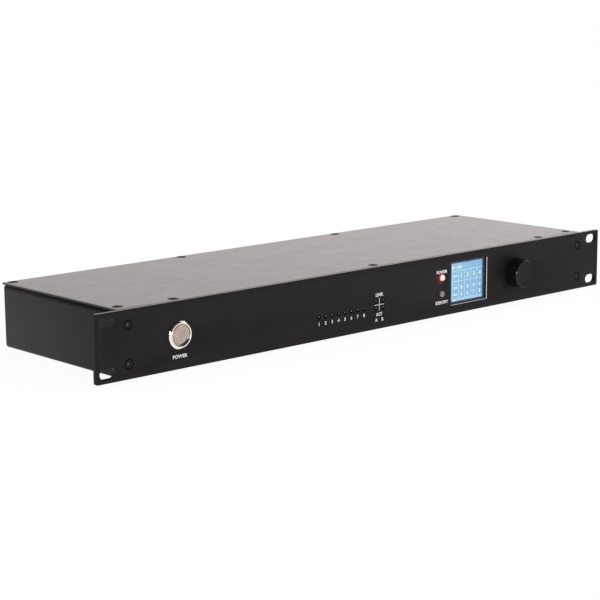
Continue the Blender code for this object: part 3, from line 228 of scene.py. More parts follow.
def shade(color, factor):
    """A colour times a factor."""
    return tuple(factor * channel for channel in color)


def paint(obj, finish, node=None):
    """Give an object one finish, and hide the CAD node that it stands for, if one is given."""
    obj.data.materials.clear()
    obj.data.materials.append(finish.material)
    for polygon in obj.data.polygons:
        polygon.material_index = 0
    if node:
        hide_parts(node)
    return obj


# %% [markdown]
# Every new piece is a set of rings: a ring is a closed loop of points, and neighbouring rings are
# joined by a band of faces. A turned part is a profile carried round a circle. A plate's rounded edge
# is a quarter turn, a wall and a quarter turn carried along its outline, and the flat faces between
# the outlines are filled in afterwards. numpy works out all the rings of a piece at once, as points
# (across, up, depth) seen from the face that the piece belongs to.

# %% Surfaces from rings
SHARP_DEGREES = 35


def facing(points, origin, way):
    """Turn local (across, up, depth) points so that depth runs into the object from a face.
    way is front for a face towards -Y, back for +Y, and top for +Z."""
    across, up, depth = points[..., 0], points[..., 1], points[..., 2]
    turned = {"front": (across, depth, up), "back": (-across, -depth, up), "top": (across, up, -depth)}
    return np.stack(turned[way], axis=-1) + np.array(origin)


def ride(name, mesh, body):
    """Put a new object in the scene and let it move with a CAD body."""
    obj = bpy.data.objects.new(name, mesh)
    bpy.context.scene.collection.objects.link(obj)
    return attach(obj, body)


def build(name, bands, origin, way, body="case", fill=()):
    """Make an object on a face from bands of rings, arrays of (rings, points, 3). A ring of zero size
    closes by itself. Each flat face in fill is a list of (band, end), end 0 for the band's first ring
    and 1 for its last: the outline and the holes that bound that face."""
    faces = []
    borders = []
    start = 0
    for band in bands:
        rings, count = band.shape[:2]
        index = start + np.arange(rings * count).reshape(rings, count)
        after = np.roll(index, -1, axis=1)
        faces.append(np.stack([index[:-1], after[:-1], after[1:], index[1:]], axis=-1).reshape(-1, 4))
        borders.append((index[0], index[-1]))
        start += rings * count
    points = facing(np.concatenate([band.reshape(-1, 3) for band in bands]), origin, way)
    mesh = bpy.data.meshes.new(name)
    mesh.from_pydata(points.tolist(), [], np.concatenate(faces).tolist())
    bm = bmesh.new()
    bm.from_mesh(mesh)
    bm.verts.ensure_lookup_table()
    for flat in fill:
        loops = [borders[band][end] for band, end in flat]
        edges = [bm.edges.get((bm.verts[int(a)], bm.verts[int(b)]))
                 for loop in loops for a, b in zip(loop, np.roll(loop, -1))]
        bmesh.ops.triangle_fill(bm, use_beauty=True, edges=edges)
    for face in bm.faces:
        face.smooth = True
    bmesh.ops.remove_doubles(bm, verts=bm.verts, dist=0.001 * MM)
    bmesh.ops.recalc_face_normals(bm, faces=bm.faces)
    bm.to_mesh(mesh)
    bm.free()
    mesh.set_sharp_from_angle(angle=math.radians(SHARP_DEGREES))
    return ride(name, mesh, body)


def arc(centre_x, centre_z, radius, start, end, steps):
    """Points on an arc, its angles in degrees counted from +X towards +Z."""
    angle = np.radians(np.linspace(start, end, steps + 1))
    return np.stack([centre_x + radius * np.cos(angle), centre_z + radius * np.sin(angle)], axis=-1)


def round_box(width, height, corner, centre=(0.0, 0.0), steps=6):
    """A rectangle's outline, counter-clockwise, with its four corners as quarter circles."""
    x, z = width / 2 - corner, height / 2 - corner
    corners = [(x, z, 0), (-x, z, 90), (-x, -z, 180), (x, -z, 270)]
    arcs = [arc(cx, cz, corner, turn, turn + 90, steps) for cx, cz, turn in corners]
    return np.concatenate(arcs) + np.array(centre)


def circle(radius, centre, steps=32):
    """A circle's outline, counter-clockwise."""
    return arc(centre[0], centre[1], radius, 0, 360 - 360 / steps, steps - 1)


def outward(outline):
    """The unit normal at each point of a closed outline: its neighbours' chord, turned to the right."""
    chord = np.roll(outline, -1, axis=0) - np.roll(outline, 1, axis=0)
    normal = np.stack([chord[:, 1], -chord[:, 0]], axis=-1)
    return normal / np.linalg.norm(normal, axis=1, keepdims=True)


def swept(outline, profile):
    """Rings of an outline: each (out, depth) of a profile moves it out along its normals and lays it
    at a depth."""
    out, depth = np.array(profile, float).T[:, :, None, None]
    flat = outline + out * outward(outline)
    return np.concatenate([flat, np.broadcast_to(depth, (*flat.shape[:2], 1))], axis=2)


def rim(outline, thickness, edge, hole=False, steps=3, start=0.0):
    """Rings of a rounded plate edge: a quarter turn, the wall, and a quarter turn back. Over the turn
    the outline moves in by edge times (1 - sine), or out round a hole, at depth edge times (1 - cosine)."""
    turn = np.radians(np.linspace(0, 90, steps + 1))
    out = edge * (1 - np.sin(turn)) * (1 if hole else -1)
    depth = edge * (1 - np.cos(turn))
    front = np.stack([out, start + depth], axis=-1)
    back = np.stack([out, start + thickness - depth], axis=-1)
    return swept(outline, np.concatenate([front, back[::-1]]))


def plate(name, outer, thickness, edge, origin, way, holes=(), behind=()):
    """A flat plate with rounded edges. holes are bands from face to back, and behind are bands that
    stand on the plate's back."""
    through = [rim(outer, thickness, edge), *holes]
    both = range(len(through))
    back = [(band, 1) for band in both] + [(len(through) + i, 0) for i in range(len(behind))]
    return build(name, [*through, *behind], origin, way, fill=[[(band, 0) for band in both], back])


def turned_rings(profile, steps=48, wave=None, centre=(0.0, 0.0)):
    """Rings of (across, up, depth) points: each (radius, depth) of a profile carried round a circle.
    wave, if given, is a function of the angle and the ring's number that is added to the radius."""
    radius, depth = np.array(profile, float).T[:, :, None]
    angle = np.linspace(0, 2 * np.pi, steps, endpoint=False)[None]
    if wave is not None:
        radius = radius + wave(angle, np.arange(len(profile))[:, None])
    return np.stack([centre[0] + radius * np.cos(angle), centre[1] + radius * np.sin(angle),
                     depth + 0 * angle], axis=-1)


def middle(node):
    """The middle of a CAD node's box."""
    low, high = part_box(node)
    return (low + high) / 2


def size(node):
    """The sides of a CAD node's box."""
    low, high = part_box(node)
    return high - low


print("CAD nodes to dress:", len(nodes))

# %% [markdown]
# The box stands in a white photo tent. A floor and a world of plain white light it from all sides, and
# that white is also what the black paint mirrors at a flat angle, which is why the lid looks grey. The
# tent is open above the camera, and glossy rays that go there find it dark: that gives the chrome bezel
# its black reflections. A narrow upright lamp beside the camera makes the sparkle on the bezel and on
# the knob's edge. Rays from the camera, and through glass, see a world of strength 1, which is white,
# so the background is white without more light on the object.

# %% Studio
WORLD_LIGHT = 0.75
WARM_WHITE = (1.0, 0.945, 0.935)
WHITE = (1.0, 1.0, 1.0)
OPENING = (-0.30, -0.72, 0.62)
OPENING_EDGE = (0.30, 0.60)
OPENING_LIGHT = 0.03
LEFT_TO_RIGHT = (0.74, -0.67, 0.0)
LEFT_EDGE = (-0.2, 0.2)
LEFT_LIGHT = 0.80
FLOOR_COLOR = (0.9, 0.9, 0.9)
FLOOR_SHADE = 0.12
FLOOR_GLOW = 1.05
FLOOR_SIZE = 12.0


def ray(graph, kind):
    """1 for a ray of this kind, 0 for the others."""
    return graph.node("ShaderNodeLightPath", output=f"Is {kind} Ray")


def straight_ray(graph):
    """1 for a ray from the camera or through glass, 0 for the others."""
    return ray(graph, "Camera").math("MAXIMUM", ray(graph, "Transmission"))


def towards(way):
    """How far a ray in the tent points this way: the dot product of both directions."""
    direction = tent.node("ShaderNodeTexCoord", output="Generated")
    return tent.node("ShaderNodeVectorMath", {"operation": "DOT_PRODUCT"}, {0: direction, 1: way}, "Value")


world = bpy.data.worlds.new("studio")
world.use_nodes = True
bpy.context.scene.world = world
tent = Graph(world.node_tree)
mirrored = (towards(LEFT_TO_RIGHT).between(*LEFT_EDGE) * (1 - LEFT_LIGHT) + LEFT_LIGHT) * (
    1 - towards(OPENING).between(*OPENING_EDGE) * (1 - OPENING_LIGHT))
straight = straight_ray(tent)
background = world.node_tree.nodes["Background"]
tent.feed(background.inputs["Color"], tent.blend(straight, WARM_WHITE, WHITE))
tent.feed(background.inputs["Strength"], WORLD_LIGHT + ray(tent, "Glossy") * (mirrored - WORLD_LIGHT)
          + straight * (1 - WORLD_LIGHT))

floor_material = bpy.data.materials.new("studio_floor")
floor_material.use_nodes = True
ground = Graph(floor_material.node_tree)
ground.tree.nodes.remove(ground.tree.nodes["Principled BSDF"])
matt = ground.node("ShaderNodeBsdfDiffuse", {}, {"Color": FLOOR_COLOR})
glow = ground.node("ShaderNodeEmission", {}, {"Strength": FLOOR_GLOW})
lit_rays = straight_ray(ground).math("MAXIMUM", ray(ground, "Glossy"))
both = ground.node("ShaderNodeMixShader", {}, {0: lit_rays * (1 - FLOOR_SHADE), 1: matt, 2: glow})
ground.feed(ground.tree.nodes["Material Output"].inputs["Surface"], both)

bpy.ops.mesh.primitive_plane_add(size=FLOOR_SIZE, location=(0, 0, cad_low.z - 0.2 * MM))
floor = bpy.context.object
floor.name = "studio_floor"
floor.data.materials.append(floor_material)
floor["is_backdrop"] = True


def softbox(name, place, target, width, height, watts, color=WHITE):
    """A rectangular lamp that looks at a point."""
    data = bpy.data.lights.new(name, "AREA")
    data.color = color
    data.shape = "RECTANGLE"
    data.size = width
    data.size_y = height
    data.energy = watts
    light = bpy.data.objects.new(name, data)
    light.location = place
    light.rotation_euler = (Vector(target) - Vector(place)).to_track_quat("-Z", "Y").to_euler()
    bpy.context.scene.collection.objects.link(light)


softbox("softbox_low", (-0.9, -1.5, 0.25), (0, 0, 0), 0.7, 0.35, 2.4)
softbox("sparkle_lamp", (-1.31, -1.02, 0.33), (0, 0, 0), 0.15, 0.42, 1.8)
softbox("softbox_right", (1.59, 0.20, 0.67), (0.1, 0, 0), 0.7, 0.8, 6.0, (1.0, 0.90, 0.75))
bpy.context.scene.view_settings.view_transform = "Standard"
print("world light", WORLD_LIGHT)

# %% [markdown]
# The panel and the case are sheet metal under black paint. Fine powder paint isn't flat: it sets with
# a slight orange peel about a millimetre across, over a grain a tenth of that. Both are bumps, and the
# grain also changes the roughness a little. The lid's top is smoother than the panel's face and has a
# thin coat of gloss, streaked from left to right. Its rim is duller, and its paint is darker as painted
# shade. Just under the lid the case is painted nearly black: painted shade for the corner that hardly
# any light reaches. The panel's top edge shines.

# %% Paint
# Lumps to the metre of each noise in the paint.
PEEL_LUMPS = 900.0
GRAIN_LUMPS = 6500.0
STREAK_LUMPS = 260.0
CLOUD_LUMPS = 35.0
CLOUD_EDGES = (0.35, 0.65)
BRUSH_LUMPS = 420.0
BRUSH_STRETCH = (0.22, 1.0, 1.0)
LID_GLOSS = 0.42
PANEL_COLOR = (0.0130, 0.0115, 0.0122)
LID_COLOR = (0.0300, 0.0225, 0.0250)
LID_RIM_SHADED_COLOR = (0.020, 0.018, 0.020)
CASE_COLOR = (0.0245, 0.0222, 0.0262)
UNDER_LID_SHADE_COLOR = (0.0005, 0.0005, 0.0005)
CORNER_DEPTHS = (3.6 * MM, 2.4 * MM, 1.2 * MM, 0.7 * MM)
TOP_EDGE = (0.10 * MM, 0.02 * MM)
TOP_EDGE_SHINE = 0.9


def black_paint(name, color, roughness, peel, specular, weights=(0.35, 0.15, 0.5)):
    """Black sheet-metal paint. The weights share out its bump: peel, grain and wider streaks."""
    finish = Finish(name, color, roughness)
    grain = finish.noise(GRAIN_LUMPS)
    cloud = finish.noise(CLOUD_LUMPS, 3.0)
    finish.tone = finish.blend(cloud.between(*CLOUD_EDGES), shade(color, 0.92), shade(color, 1.08))
    finish.set(base_color=finish.tone, roughness=grain * 0.08 + cloud * 0.05 + (roughness - 0.065),
               specular_ior_level=specular)
    finish.bump(finish.noise(PEEL_LUMPS) * weights[0] + grain * weights[1]
                + finish.noise(STREAK_LUMPS, 3.0) * weights[2], peel)
    return finish


panel_paint = black_paint("panel_paint", PANEL_COLOR, 0.50, 0.012 * MM, 0.15)
panel_top_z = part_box("front_panel")[1].z
panel_top = panel_paint.axis("Z").between(*[panel_top_z - depth for depth in TOP_EDGE])
panel_paint.set(coat_weight=panel_top * TOP_EDGE_SHINE, coat_roughness=0.2)

lid_paint = black_paint("lid_paint", LID_COLOR, 0.17, 0.040 * MM, 1.0, (0.25, 0.05, 0.7))
brushed = (lid_paint.noise(BRUSH_LUMPS, 3.0, BRUSH_STRETCH, 0.6) * 0.75
           + lid_paint.noise(60.0, 2.0) * 0.25)
lid_paint.set(coat_weight=brushed.between(0.25, 0.75) * LID_GLOSS, coat_roughness=0.12)
# The rim's paint is duller, and its colour is darker than the lid top's as painted shade.
lid_rim_shaded_paint = black_paint("lid_rim_shaded_paint", LID_RIM_SHADED_COLOR, 0.45, 0.012 * MM, 0.25)

case_paint = black_paint("case_paint", CASE_COLOR, 0.50, 0.012 * MM, 0.15)
# Painted shade: just under the lid the case is coloured near black, fading at both ends of the band.
fade_in, black_from, black_to, fade_out = (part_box("top_cover")[0].z - depth for depth in CORNER_DEPTHS)
painted_shade_under_lid = case_paint.axis("Z").between(fade_in, black_from) * (
    1 - case_paint.axis("Z").between(black_to, fade_out))
case_paint.set(base_color=case_paint.blend(painted_shade_under_lid, case_paint.tone, UNDER_LID_SHADE_COLOR))
print("the case is black over", round((black_to - black_from) / MM, 2), "mm under the lid")

# %% [markdown]
# The front panel is one plate with rounded edges and a hole for each thing that comes through it. The
# CAD solid says where the holes are, so each outline takes its centre from the node that fills it. The
# holes of the small lamps are bevelled, and screws sink into cones.

# %% Front panel
panel_low, panel_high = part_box("front_panel")
PANEL_FRONT = panel_low.y
PANEL_THICKNESS = 3.0 * MM
PANEL_EDGE = 0.35 * MM
PANEL_CORNER = 1.5 * MM
HOLE_EDGE = 0.15 * MM
SLOT_LENGTH = 12.0 * MM
SLOT_HEIGHT = 6.9 * MM
SLOT_X = 232.55 * MM
SLOT_RISE = 31.75 * MM / 2
AXIS_Z = (panel_low.z + panel_high.z) / 2
LAMP_HOLE = 2.8 * MM
CAP_HOLE = 8.3 * MM
KNOB_HOLE = 4.8 * MM
WINDOW_GAP = 0.3 * MM
PORT_LAMPS = 8
PORT_PITCH = 6.04 * MM
LINK_STEP_X = 3.5 * MM
LINK_STEP_Z = 2.5 * MM
PIPE_END = 1.3 * MM
PIT_EDGE = 0.35 * MM
SCREW_GAP = 0.28 * MM
SINK_EDGE = 0.1 * MM
PANEL_SCREW_SHANK = 1.6 * MM
PANEL_SCREW_DEPTH = 1.5 * MM
STUD_RADIUS = 2.2 * MM
STUD_LENGTH = 9.2 * MM
STUD_INSET = 4.0 * MM
MIDDLE_STUD_X = 35.3 * MM
SIDES = (-1, 1)


def at_front(node):
    """Where a node's axis meets the panel: its X and Z."""
    point = middle(node)
    return (point.x, point.z)


def countersink(centre, head, shank, depth, thickness):
    """The band of a countersunk hole: a cone that leaves SCREW_GAP round the head, then a bore."""
    profile = [(head + SCREW_GAP + SINK_EDGE, 0), (head + SCREW_GAP, SINK_EDGE),
               (shank + SCREW_GAP, depth), (shank + SCREW_GAP, thickness)]
    return turned_rings(profile, 32, centre=centre)


port_x, port_z = at_front("port_light_pipes")
link_x, link_z = at_front("link_light_pipes")
PORT_PLACES = [(port_x + PORT_PITCH * (i - (PORT_LAMPS - 1) / 2), port_z) for i in range(PORT_LAMPS)]
LINK_PLACES = [(link_x + a * LINK_STEP_X, link_z + b * LINK_STEP_Z) for a in SIDES for b in (1, -1)]
LAMP_HOLES = PORT_PLACES + LINK_PLACES

window = size("lcd_window")
outlines = [round_box(SLOT_LENGTH, SLOT_HEIGHT, SLOT_HEIGHT / 2 - 0.01 * MM,
                      (a * SLOT_X, AXIS_Z + b * SLOT_RISE), 8) for a in SIDES for b in SIDES]
outlines += [circle(LAMP_HOLE, at_front(name)) for name in ("power_led", "identify_led")]
outlines += [circle(CAP_HOLE, at_front("power_button_cap")), circle(KNOB_HOLE, at_front("knob"))]
outlines.append(round_box(window.x + 2 * WINDOW_GAP, window.z + 2 * WINDOW_GAP, 0.8 * MM,
                          at_front("lcd_window")))
panel_holes = [rim(outline, PANEL_THICKNESS, HOLE_EDGE, hole=True) for outline in outlines]
panel_screws = [f"panel_screw_{i}" for i in range(1, 5)]
panel_holes += [countersink(at_front(name), size(name).x / 2, PANEL_SCREW_SHANK, PANEL_SCREW_DEPTH,
                            PANEL_THICKNESS) for name in panel_screws]
pit_profile = [(PIPE_END + PIT_EDGE, 0), (PIPE_END + 0.9 * PIT_EDGE, 0.1 * PIT_EDGE),
               (PIPE_END, PIT_EDGE), (PIPE_END, PANEL_THICKNESS)]
panel_holes += [turned_rings(pit_profile, 24, centre=place) for place in LAMP_HOLES]
board_low, board_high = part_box("control_board")
stud_xs = (board_low.x + STUD_INSET, MIDDLE_STUD_X, board_high.x - STUD_INSET)
stud_profile = [(STUD_RADIUS, PANEL_THICKNESS), (STUD_RADIUS, PANEL_THICKNESS + STUD_LENGTH),
                (0, PANEL_THICKNESS + STUD_LENGTH)]
studs = [turned_rings(stud_profile, 16, centre=(x, z))
         for x in stud_xs for z in (board_low.z + STUD_INSET, board_high.z - STUD_INSET)]
panel = plate("front_panel_plate", round_box(size("front_panel").x, size("front_panel").z, PANEL_CORNER,
                                             (0, AXIS_Z)),
              PANEL_THICKNESS, PANEL_EDGE, (0, PANEL_FRONT, 0), "front", panel_holes, studs)
paint(panel, panel_paint, "front_panel")
print("panel holes:", len(panel_holes), "and studs:", len(studs))

# %% [markdown]
# The lid is a second plate, thinner, with nine countersunk holes. The faces of its rim and its
# countersinks get the duller paint, which is also darker as painted shade. The chassis keeps its CAD
# shape. Its mesh is loose triangles, so a copy is merged, and only its sharp corners stay sharp.

# %% Lid and chassis
LID_EDGE = 0.12 * MM
LID_CORNER = 1.5 * MM
LID_SCREW_SHANK = 1.5 * MM
LID_SCREW_DEPTH = 1.0 * MM
lid_size = size("top_cover")
lid_middle = middle("top_cover")
lid_screws = sorted(name for name in nodes if name.startswith("cover_screw"))
lid_holes = [countersink(middle(name).xy, size(name).x / 2, LID_SCREW_SHANK, LID_SCREW_DEPTH, lid_size.z)
             for name in lid_screws]
lid = plate("lid_plate", round_box(lid_size.x, lid_size.y, LID_CORNER, lid_middle.xy), lid_size.z, LID_EDGE,
            (0, 0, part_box("top_cover")[1].z), "top", lid_holes)
paint(lid, lid_paint)
lid.data.materials.append(lid_rim_shaded_paint.material)
# Faces that don't face up, the rim and the countersinks, get the darker paint: painted shade.
for polygon in lid.data.polygons:
    polygon.material_index = int(abs(polygon.normal.z) < 0.9)
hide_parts("top_cover")

shell = nodes["chassis_tray"].data.copy()
bm = bmesh.new()
bm.from_mesh(shell)
bmesh.ops.remove_doubles(bm, verts=bm.verts, dist=0.002 * MM)
bmesh.ops.dissolve_limit(bm, angle_limit=math.radians(1), verts=bm.verts, edges=bm.edges)
bm.to_mesh(shell)
bm.free()
shell.shade_smooth()
shell.set_sharp_from_angle(angle=math.radians(SHARP_DEGREES))
chassis = ride("chassis_shell", shell, "case")
paint(chassis, case_paint, "chassis_tray")
print("lid holes:", len(lid_holes), "and chassis faces:", len(shell.polygons))

# %% [markdown]
# Thirteen countersunk screws with hexagon sockets hold the lid and the panel. A screw is turned, apart
# from its socket, so its rings start as circles and become hexagons: the distance from the axis to a
# hexagon's side is the flat's distance divided by the cosine of the angle from the flat's middle. The
# head is black, with shoulders that fall away; outside its crown the head is painted near black, as
# painted shade in the gap round it. The key has worn its socket bright. How worn each point is, 0 to 1,
# and where the crown ends, are kept in the mesh as attributes that the material reads.

# %% Screws
DRIVE_RADIUS = 1.3 * MM
DRIVE_DEPTH = 0.7 * MM
SCREW_STEPS = 36
SCREW_EDGE = 0.12 * MM
HEAD_SUNK = 0.08 * MM
PANEL_SHOULDER = 0.6 * MM
PANEL_SCREW_DROP = 0.7 * MM
LID_SHOULDER = 1.1 * MM
LID_SCREW_DROP = 0.32 * MM
# Painted shade, for the screws' gaps and the panel's bevels.
PAINTED_SHADE_BLACK = (0.001, 0.001, 0.001)
WORN_STEEL = (0.20, 0.196, 0.19)


def screw_rings(head, head_depth, shank, length, shoulder, drop):
    """Rings of a screw. Each row is a radius, a depth, and 0 for a circle or 1 for a hexagon. The head
    falls away by drop over its outer part, shoulder wide."""
    edge = SCREW_EDGE
    top = HEAD_SUNK
    rim_depth = top + drop
    crown = head - shoulder
    rows = [(0, length, 0), (shank - edge, length, 0), (shank, length - edge, 0), (shank, head_depth, 0),
            (head - edge / 2, rim_depth + edge, 0), (head - edge / 2, rim_depth, 0),
            (head - 2 * edge, rim_depth - edge, 0), (crown + 0.5 * edge, top + edge / 2, 0),
            (crown, top, 0), (DRIVE_RADIUS + 3 * edge, top, 1), (DRIVE_RADIUS + 2 * edge, top, 1),
            (DRIVE_RADIUS, top + edge, 1), (DRIVE_RADIUS, top + DRIVE_DEPTH, 1),
            (0, top + DRIVE_DEPTH + edge, 0)]
    radius, depth, share = np.array(rows, float).T[:, :, None]

    def hexagon(angle, _):
        """What turns a hexagon's rings from circles, and adds nothing to the others."""
        side = radius * np.cos(np.pi / 6) / np.cos(np.mod(angle, np.pi / 3) - np.pi / 6)
        return share * (side - radius)

    return turned_rings([row[:2] for row in rows], SCREW_STEPS, hexagon)


def mark(piece, name, axes, centres, full, none):
    """Give each point a number: 1 up to full metres from the nearest centre, 0 from none metres on."""
    points = np.empty(len(piece.data.vertices) * 3)
    piece.data.vertices.foreach_get("co", points)
    flat = points.reshape(-1, 3)[:, None, list(axes)]
    distance = np.linalg.norm(flat - np.array(centres)[None], axis=2).min(axis=1)
    level = np.clip((none - distance) / (none - full), 0, 1).astype(np.float32)
    piece.data.attributes.new(name, "FLOAT", "POINT").data.foreach_set("value", level)


def oxide_black(name, color, roughness=0.55):
    """Blackened steel with rubbed spots, bright steel where it is worn, and near black outside the crown as
    painted shade.
    """
    finish = Finish(name, color, roughness, specular_ior_level=0.2)
    rubbed = finish.noise(1800.0, 3.0).between(0.5, 0.75)
    worn = finish.attribute("worn")
    spotted = finish.blend(rubbed, color, shade(color, 2.2))
    # Outside the crown the head is painted near black: painted shade in the gap round it.
    black = finish.blend(finish.attribute("crown"), PAINTED_SHADE_BLACK, spotted)
    finish.set(base_color=finish.blend(worn, black, WORN_STEEL), metallic=worn,
               roughness=rubbed * 0.12 + worn * -0.25 + roughness)
    finish.bump(finish.noise(5000.0, 2.0), 0.006 * MM)
    return finish


def dress_screws(kind, screws, way, finish, head_depth, shank, shoulder, drop):
    """Lay a turned screw over each CAD screw, and mark its worn socket and its crown."""
    axes, deep = ((0, 2), 1) if way == "front" else ((0, 1), 2)
    for number, node in enumerate(screws, start=1):
        low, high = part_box(node)
        origin = middle(node)
        origin[deep] = low.y if way == "front" else high.z
        head = size(node).x / 2
        rings = screw_rings(head, head_depth, shank, high[deep] - low[deep], shoulder, drop)
        screw = build(f"{kind}_socket_screw_{number}", [rings], origin, way)
        centres = [[origin[axis] for axis in axes]]
        mark(screw, "worn", axes, centres, 0.2 * MM, 0.95 * DRIVE_RADIUS)
        # The crown mark: outside it, the head is painted near black as painted shade.
        mark(screw, "crown", axes, centres, head - 0.6 * MM, head - 0.4 * MM)
        paint(screw, finish, node)


lid_screw_black = oxide_black("lid_screw_black", (0.0045, 0.0042, 0.0048))
panel_screw_black = oxide_black("panel_screw_black", (0.0105, 0.0095, 0.010))
dress_screws("panel", panel_screws, "front", panel_screw_black, PANEL_SCREW_DEPTH, PANEL_SCREW_SHANK,
             PANEL_SHOULDER, PANEL_SCREW_DROP)
dress_screws("lid", lid_screws, "top", lid_screw_black, LID_SCREW_DEPTH, LID_SCREW_SHANK,
             LID_SHOULDER, LID_SCREW_DROP)
print("screws:", len(panel_screws) + len(lid_screws))

# %% [markdown]
# Two things are painted on the panel's paint round its holes. The countersinks and the bevels of the
# small lamps' holes catch hardly any light, so they are painted near black as painted shade. And round
# the red lamp, a little to its left, the paint has a faint red glow that fades with the distance: painted
# light from the lamp, an emission of the paint itself.

# %% Painted shade and glow round the panel's holes
GLOW_SHIFT = (-1.2 * MM, -0.4 * MM)
GLOW_REACH = (2.0 * MM, 6.5 * MM)
GLOW_COLOR = (0.12, 0.002, 0.006)
sink_radius = size(panel_screws[0]).x / 2 + SCREW_GAP
mark(panel, "sink", (0, 2), [at_front(name) for name in panel_screws],
     sink_radius + 0.1 * SINK_EDGE, sink_radius + 0.5 * SINK_EDGE)
mark(panel, "pit", (0, 2), LAMP_HOLES, PIPE_END + 0.92 * PIT_EDGE, PIPE_END + 0.98 * PIT_EDGE)
# Painted shade: the countersinks and the lamp bevels are coloured near black.
painted_bevel_shade = panel_paint.attribute("sink").math("MAXIMUM", panel_paint.attribute("pit"))
panel_paint.set(base_color=panel_paint.blend(painted_bevel_shade, panel_paint.tone, PAINTED_SHADE_BLACK))
glow_x, glow_z = np.array(at_front("power_led")) + GLOW_SHIFT
# Painted light: the red lamp's glow on the panel is an emission of the panel's own paint.
painted_lamp_glow = (1 - panel_paint.from_axis(glow_x, glow_z).between(*GLOW_REACH)) ** 2
panel_paint.set(emission_color=panel_paint.blend(painted_lamp_glow, (0.0, 0.0, 0.0), GLOW_COLOR),
                emission_strength=1.0)
print("glow at x", round(glow_x / MM, 1), "z", round(glow_z / MM, 1), "mm")

# %% [markdown]
# The power button is a plated housing, screwed through the panel, round a cap that slides in. The
# bezel is a low cone with a bevel inside. A cone shows one strip of the room all along its slope, so
# black and white lie side by side on it. The cap is dished, and its face is turned on a lathe: fine
# rings, too fine to model, are a bump that depends only on the distance from the axis.

# %% Power button
BEZEL_RADIUS = 9.1 * MM
BEZEL_HEIGHT = 1.4 * MM
BEZEL_CHAMFER = 1.0 * MM
BEZEL_ROUND = 0.25 * MM
BEZEL_SEAT = 0.3 * MM
INNER_BEVEL = 0.12 * MM
BUTTON_BORE = 7.25 * MM
BUTTON_FLOOR = 7.8 * MM
BUTTON_BARREL = 8.0 * MM
BUTTON_DEPTH = 20.0 * MM
CAP_RADIUS = 6.95 * MM
CAP_TOP = 1.2 * MM
CAP_HEIGHT = 6.0 * MM
CAP_BEVEL = 0.3 * MM
DISH_RADIUS = 5.6 * MM
DISH_RIM = 6.55 * MM
DISH_DEPTH = 0.5 * MM
SOFT_EDGE = 0.08 * MM
BLADE_WIDTH = 0.6 * MM
BLADE_HEIGHT = 2.8 * MM
BLADE_LENGTH = 4.0 * MM
BLADE_EDGE = 0.1 * MM
BLADE_STEP = 4.0 * MM
button = Vector((middle("power_button_cap").x, PANEL_FRONT, AXIS_Z))

shoulder = arc(BEZEL_RADIUS - BEZEL_CHAMFER - (math.sqrt(2) - 1) * BEZEL_ROUND,
               BEZEL_HEIGHT - BEZEL_ROUND, BEZEL_ROUND, 90, 45, 4)
foot = BEZEL_HEIGHT - BEZEL_CHAMFER
housing_profile = [(0, BUTTON_FLOOR), (BUTTON_BORE, BUTTON_FLOOR),
                   (BUTTON_BORE, INNER_BEVEL - BEZEL_HEIGHT), (BUTTON_BORE + INNER_BEVEL, -BEZEL_HEIGHT),
                   *[(radius, -height) for radius, height in shoulder],
                   (BEZEL_RADIUS - SOFT_EDGE, -foot - SOFT_EDGE), (BEZEL_RADIUS, -foot),
                   (BEZEL_RADIUS, -BEZEL_SEAT), (BUTTON_BARREL, -BEZEL_SEAT), (BUTTON_BARREL, BUTTON_DEPTH)]
blades = [rim(round_box(BLADE_WIDTH, BLADE_HEIGHT, 1.5 * BLADE_EDGE, (a * BLADE_STEP, b * BLADE_STEP), 2),
              BLADE_LENGTH, BLADE_EDGE, steps=1, start=BUTTON_DEPTH) for a in SIDES for b in SIDES]
blade_bands = range(1, 1 + len(blades))
housing = build("button_housing", [turned_rings(housing_profile, 72), *blades], button, "front",
                fill=[[(0, 1), *[(i, 0) for i in blade_bands]], *[[(i, 1)] for i in blade_bands]])

dish_floor = DISH_DEPTH - CAP_TOP
dish_slope = DISH_DEPTH / (DISH_RIM - DISH_RADIUS) * SOFT_EDGE
cap_profile = [(0, dish_floor), (0.5 * DISH_RADIUS, dish_floor), (DISH_RADIUS - SOFT_EDGE, dish_floor),
               (DISH_RADIUS, dish_floor), (DISH_RADIUS + SOFT_EDGE, dish_floor - dish_slope),
               (DISH_RIM - SOFT_EDGE, dish_slope - CAP_TOP), (DISH_RIM, -CAP_TOP),
               (DISH_RIM + SOFT_EDGE, -CAP_TOP), (CAP_RADIUS - CAP_BEVEL, -CAP_TOP),
               (CAP_RADIUS, CAP_BEVEL - CAP_TOP), (CAP_RADIUS, CAP_HEIGHT - CAP_TOP),
               (0, CAP_HEIGHT - CAP_TOP)]
cap = build("button_cap", [turned_rings(cap_profile, 72)], button, "front", "button")


def lathe_metal(name, color, patch_color, roughness, ring, depth):
    """Turned metal: rings about the button's axis, ring metres apart, whose heights vary from ring to
    ring, and patches of a second colour."""
    finish = Finish(name, color, roughness, 1.0)
    spread = finish.node("ShaderNodeCombineXYZ", {}, {0: finish.from_axis(button.x, button.z)})
    rings = finish.node("ShaderNodeTexNoise", {}, {"Vector": spread, "Scale": 1 / ring, "Detail": 1.0})
    cloud = finish.noise(160.0, 2.0).between(*CLOUD_EDGES)
    finish.set(base_color=finish.blend(cloud, color, patch_color),
               roughness=rings * 0.16 + (roughness - 0.08))
    finish.bump(rings, depth)
    return finish


bezel_metal = lathe_metal("bezel_metal", (0.88, 0.81, 0.79), (0.91, 0.85, 0.76), 0.11,
                          0.5 * MM, 0.001 * MM)
cap_metal = lathe_metal("cap_metal", (0.42, 0.335, 0.315), (0.52, 0.43, 0.375), 0.27,
                        0.16 * MM, 0.008 * MM)
paint(housing, bezel_metal, "power_button_housing")
paint(cap, cap_metal, "power_button_cap")
print("button at", [round(c / MM, 1) for c in button], "mm")

# %% [markdown]
# The knob is black plastic with fine ribs along its side, a small chamfer and a plain face. It tapers a
# little to the front. The ribs are a wave added to the radius of the side's rings: the cosine of the
# angle times the number of ribs, sharpened, and always inwards so that the knob keeps its size. The
# chamfer is polished, more so towards the left.

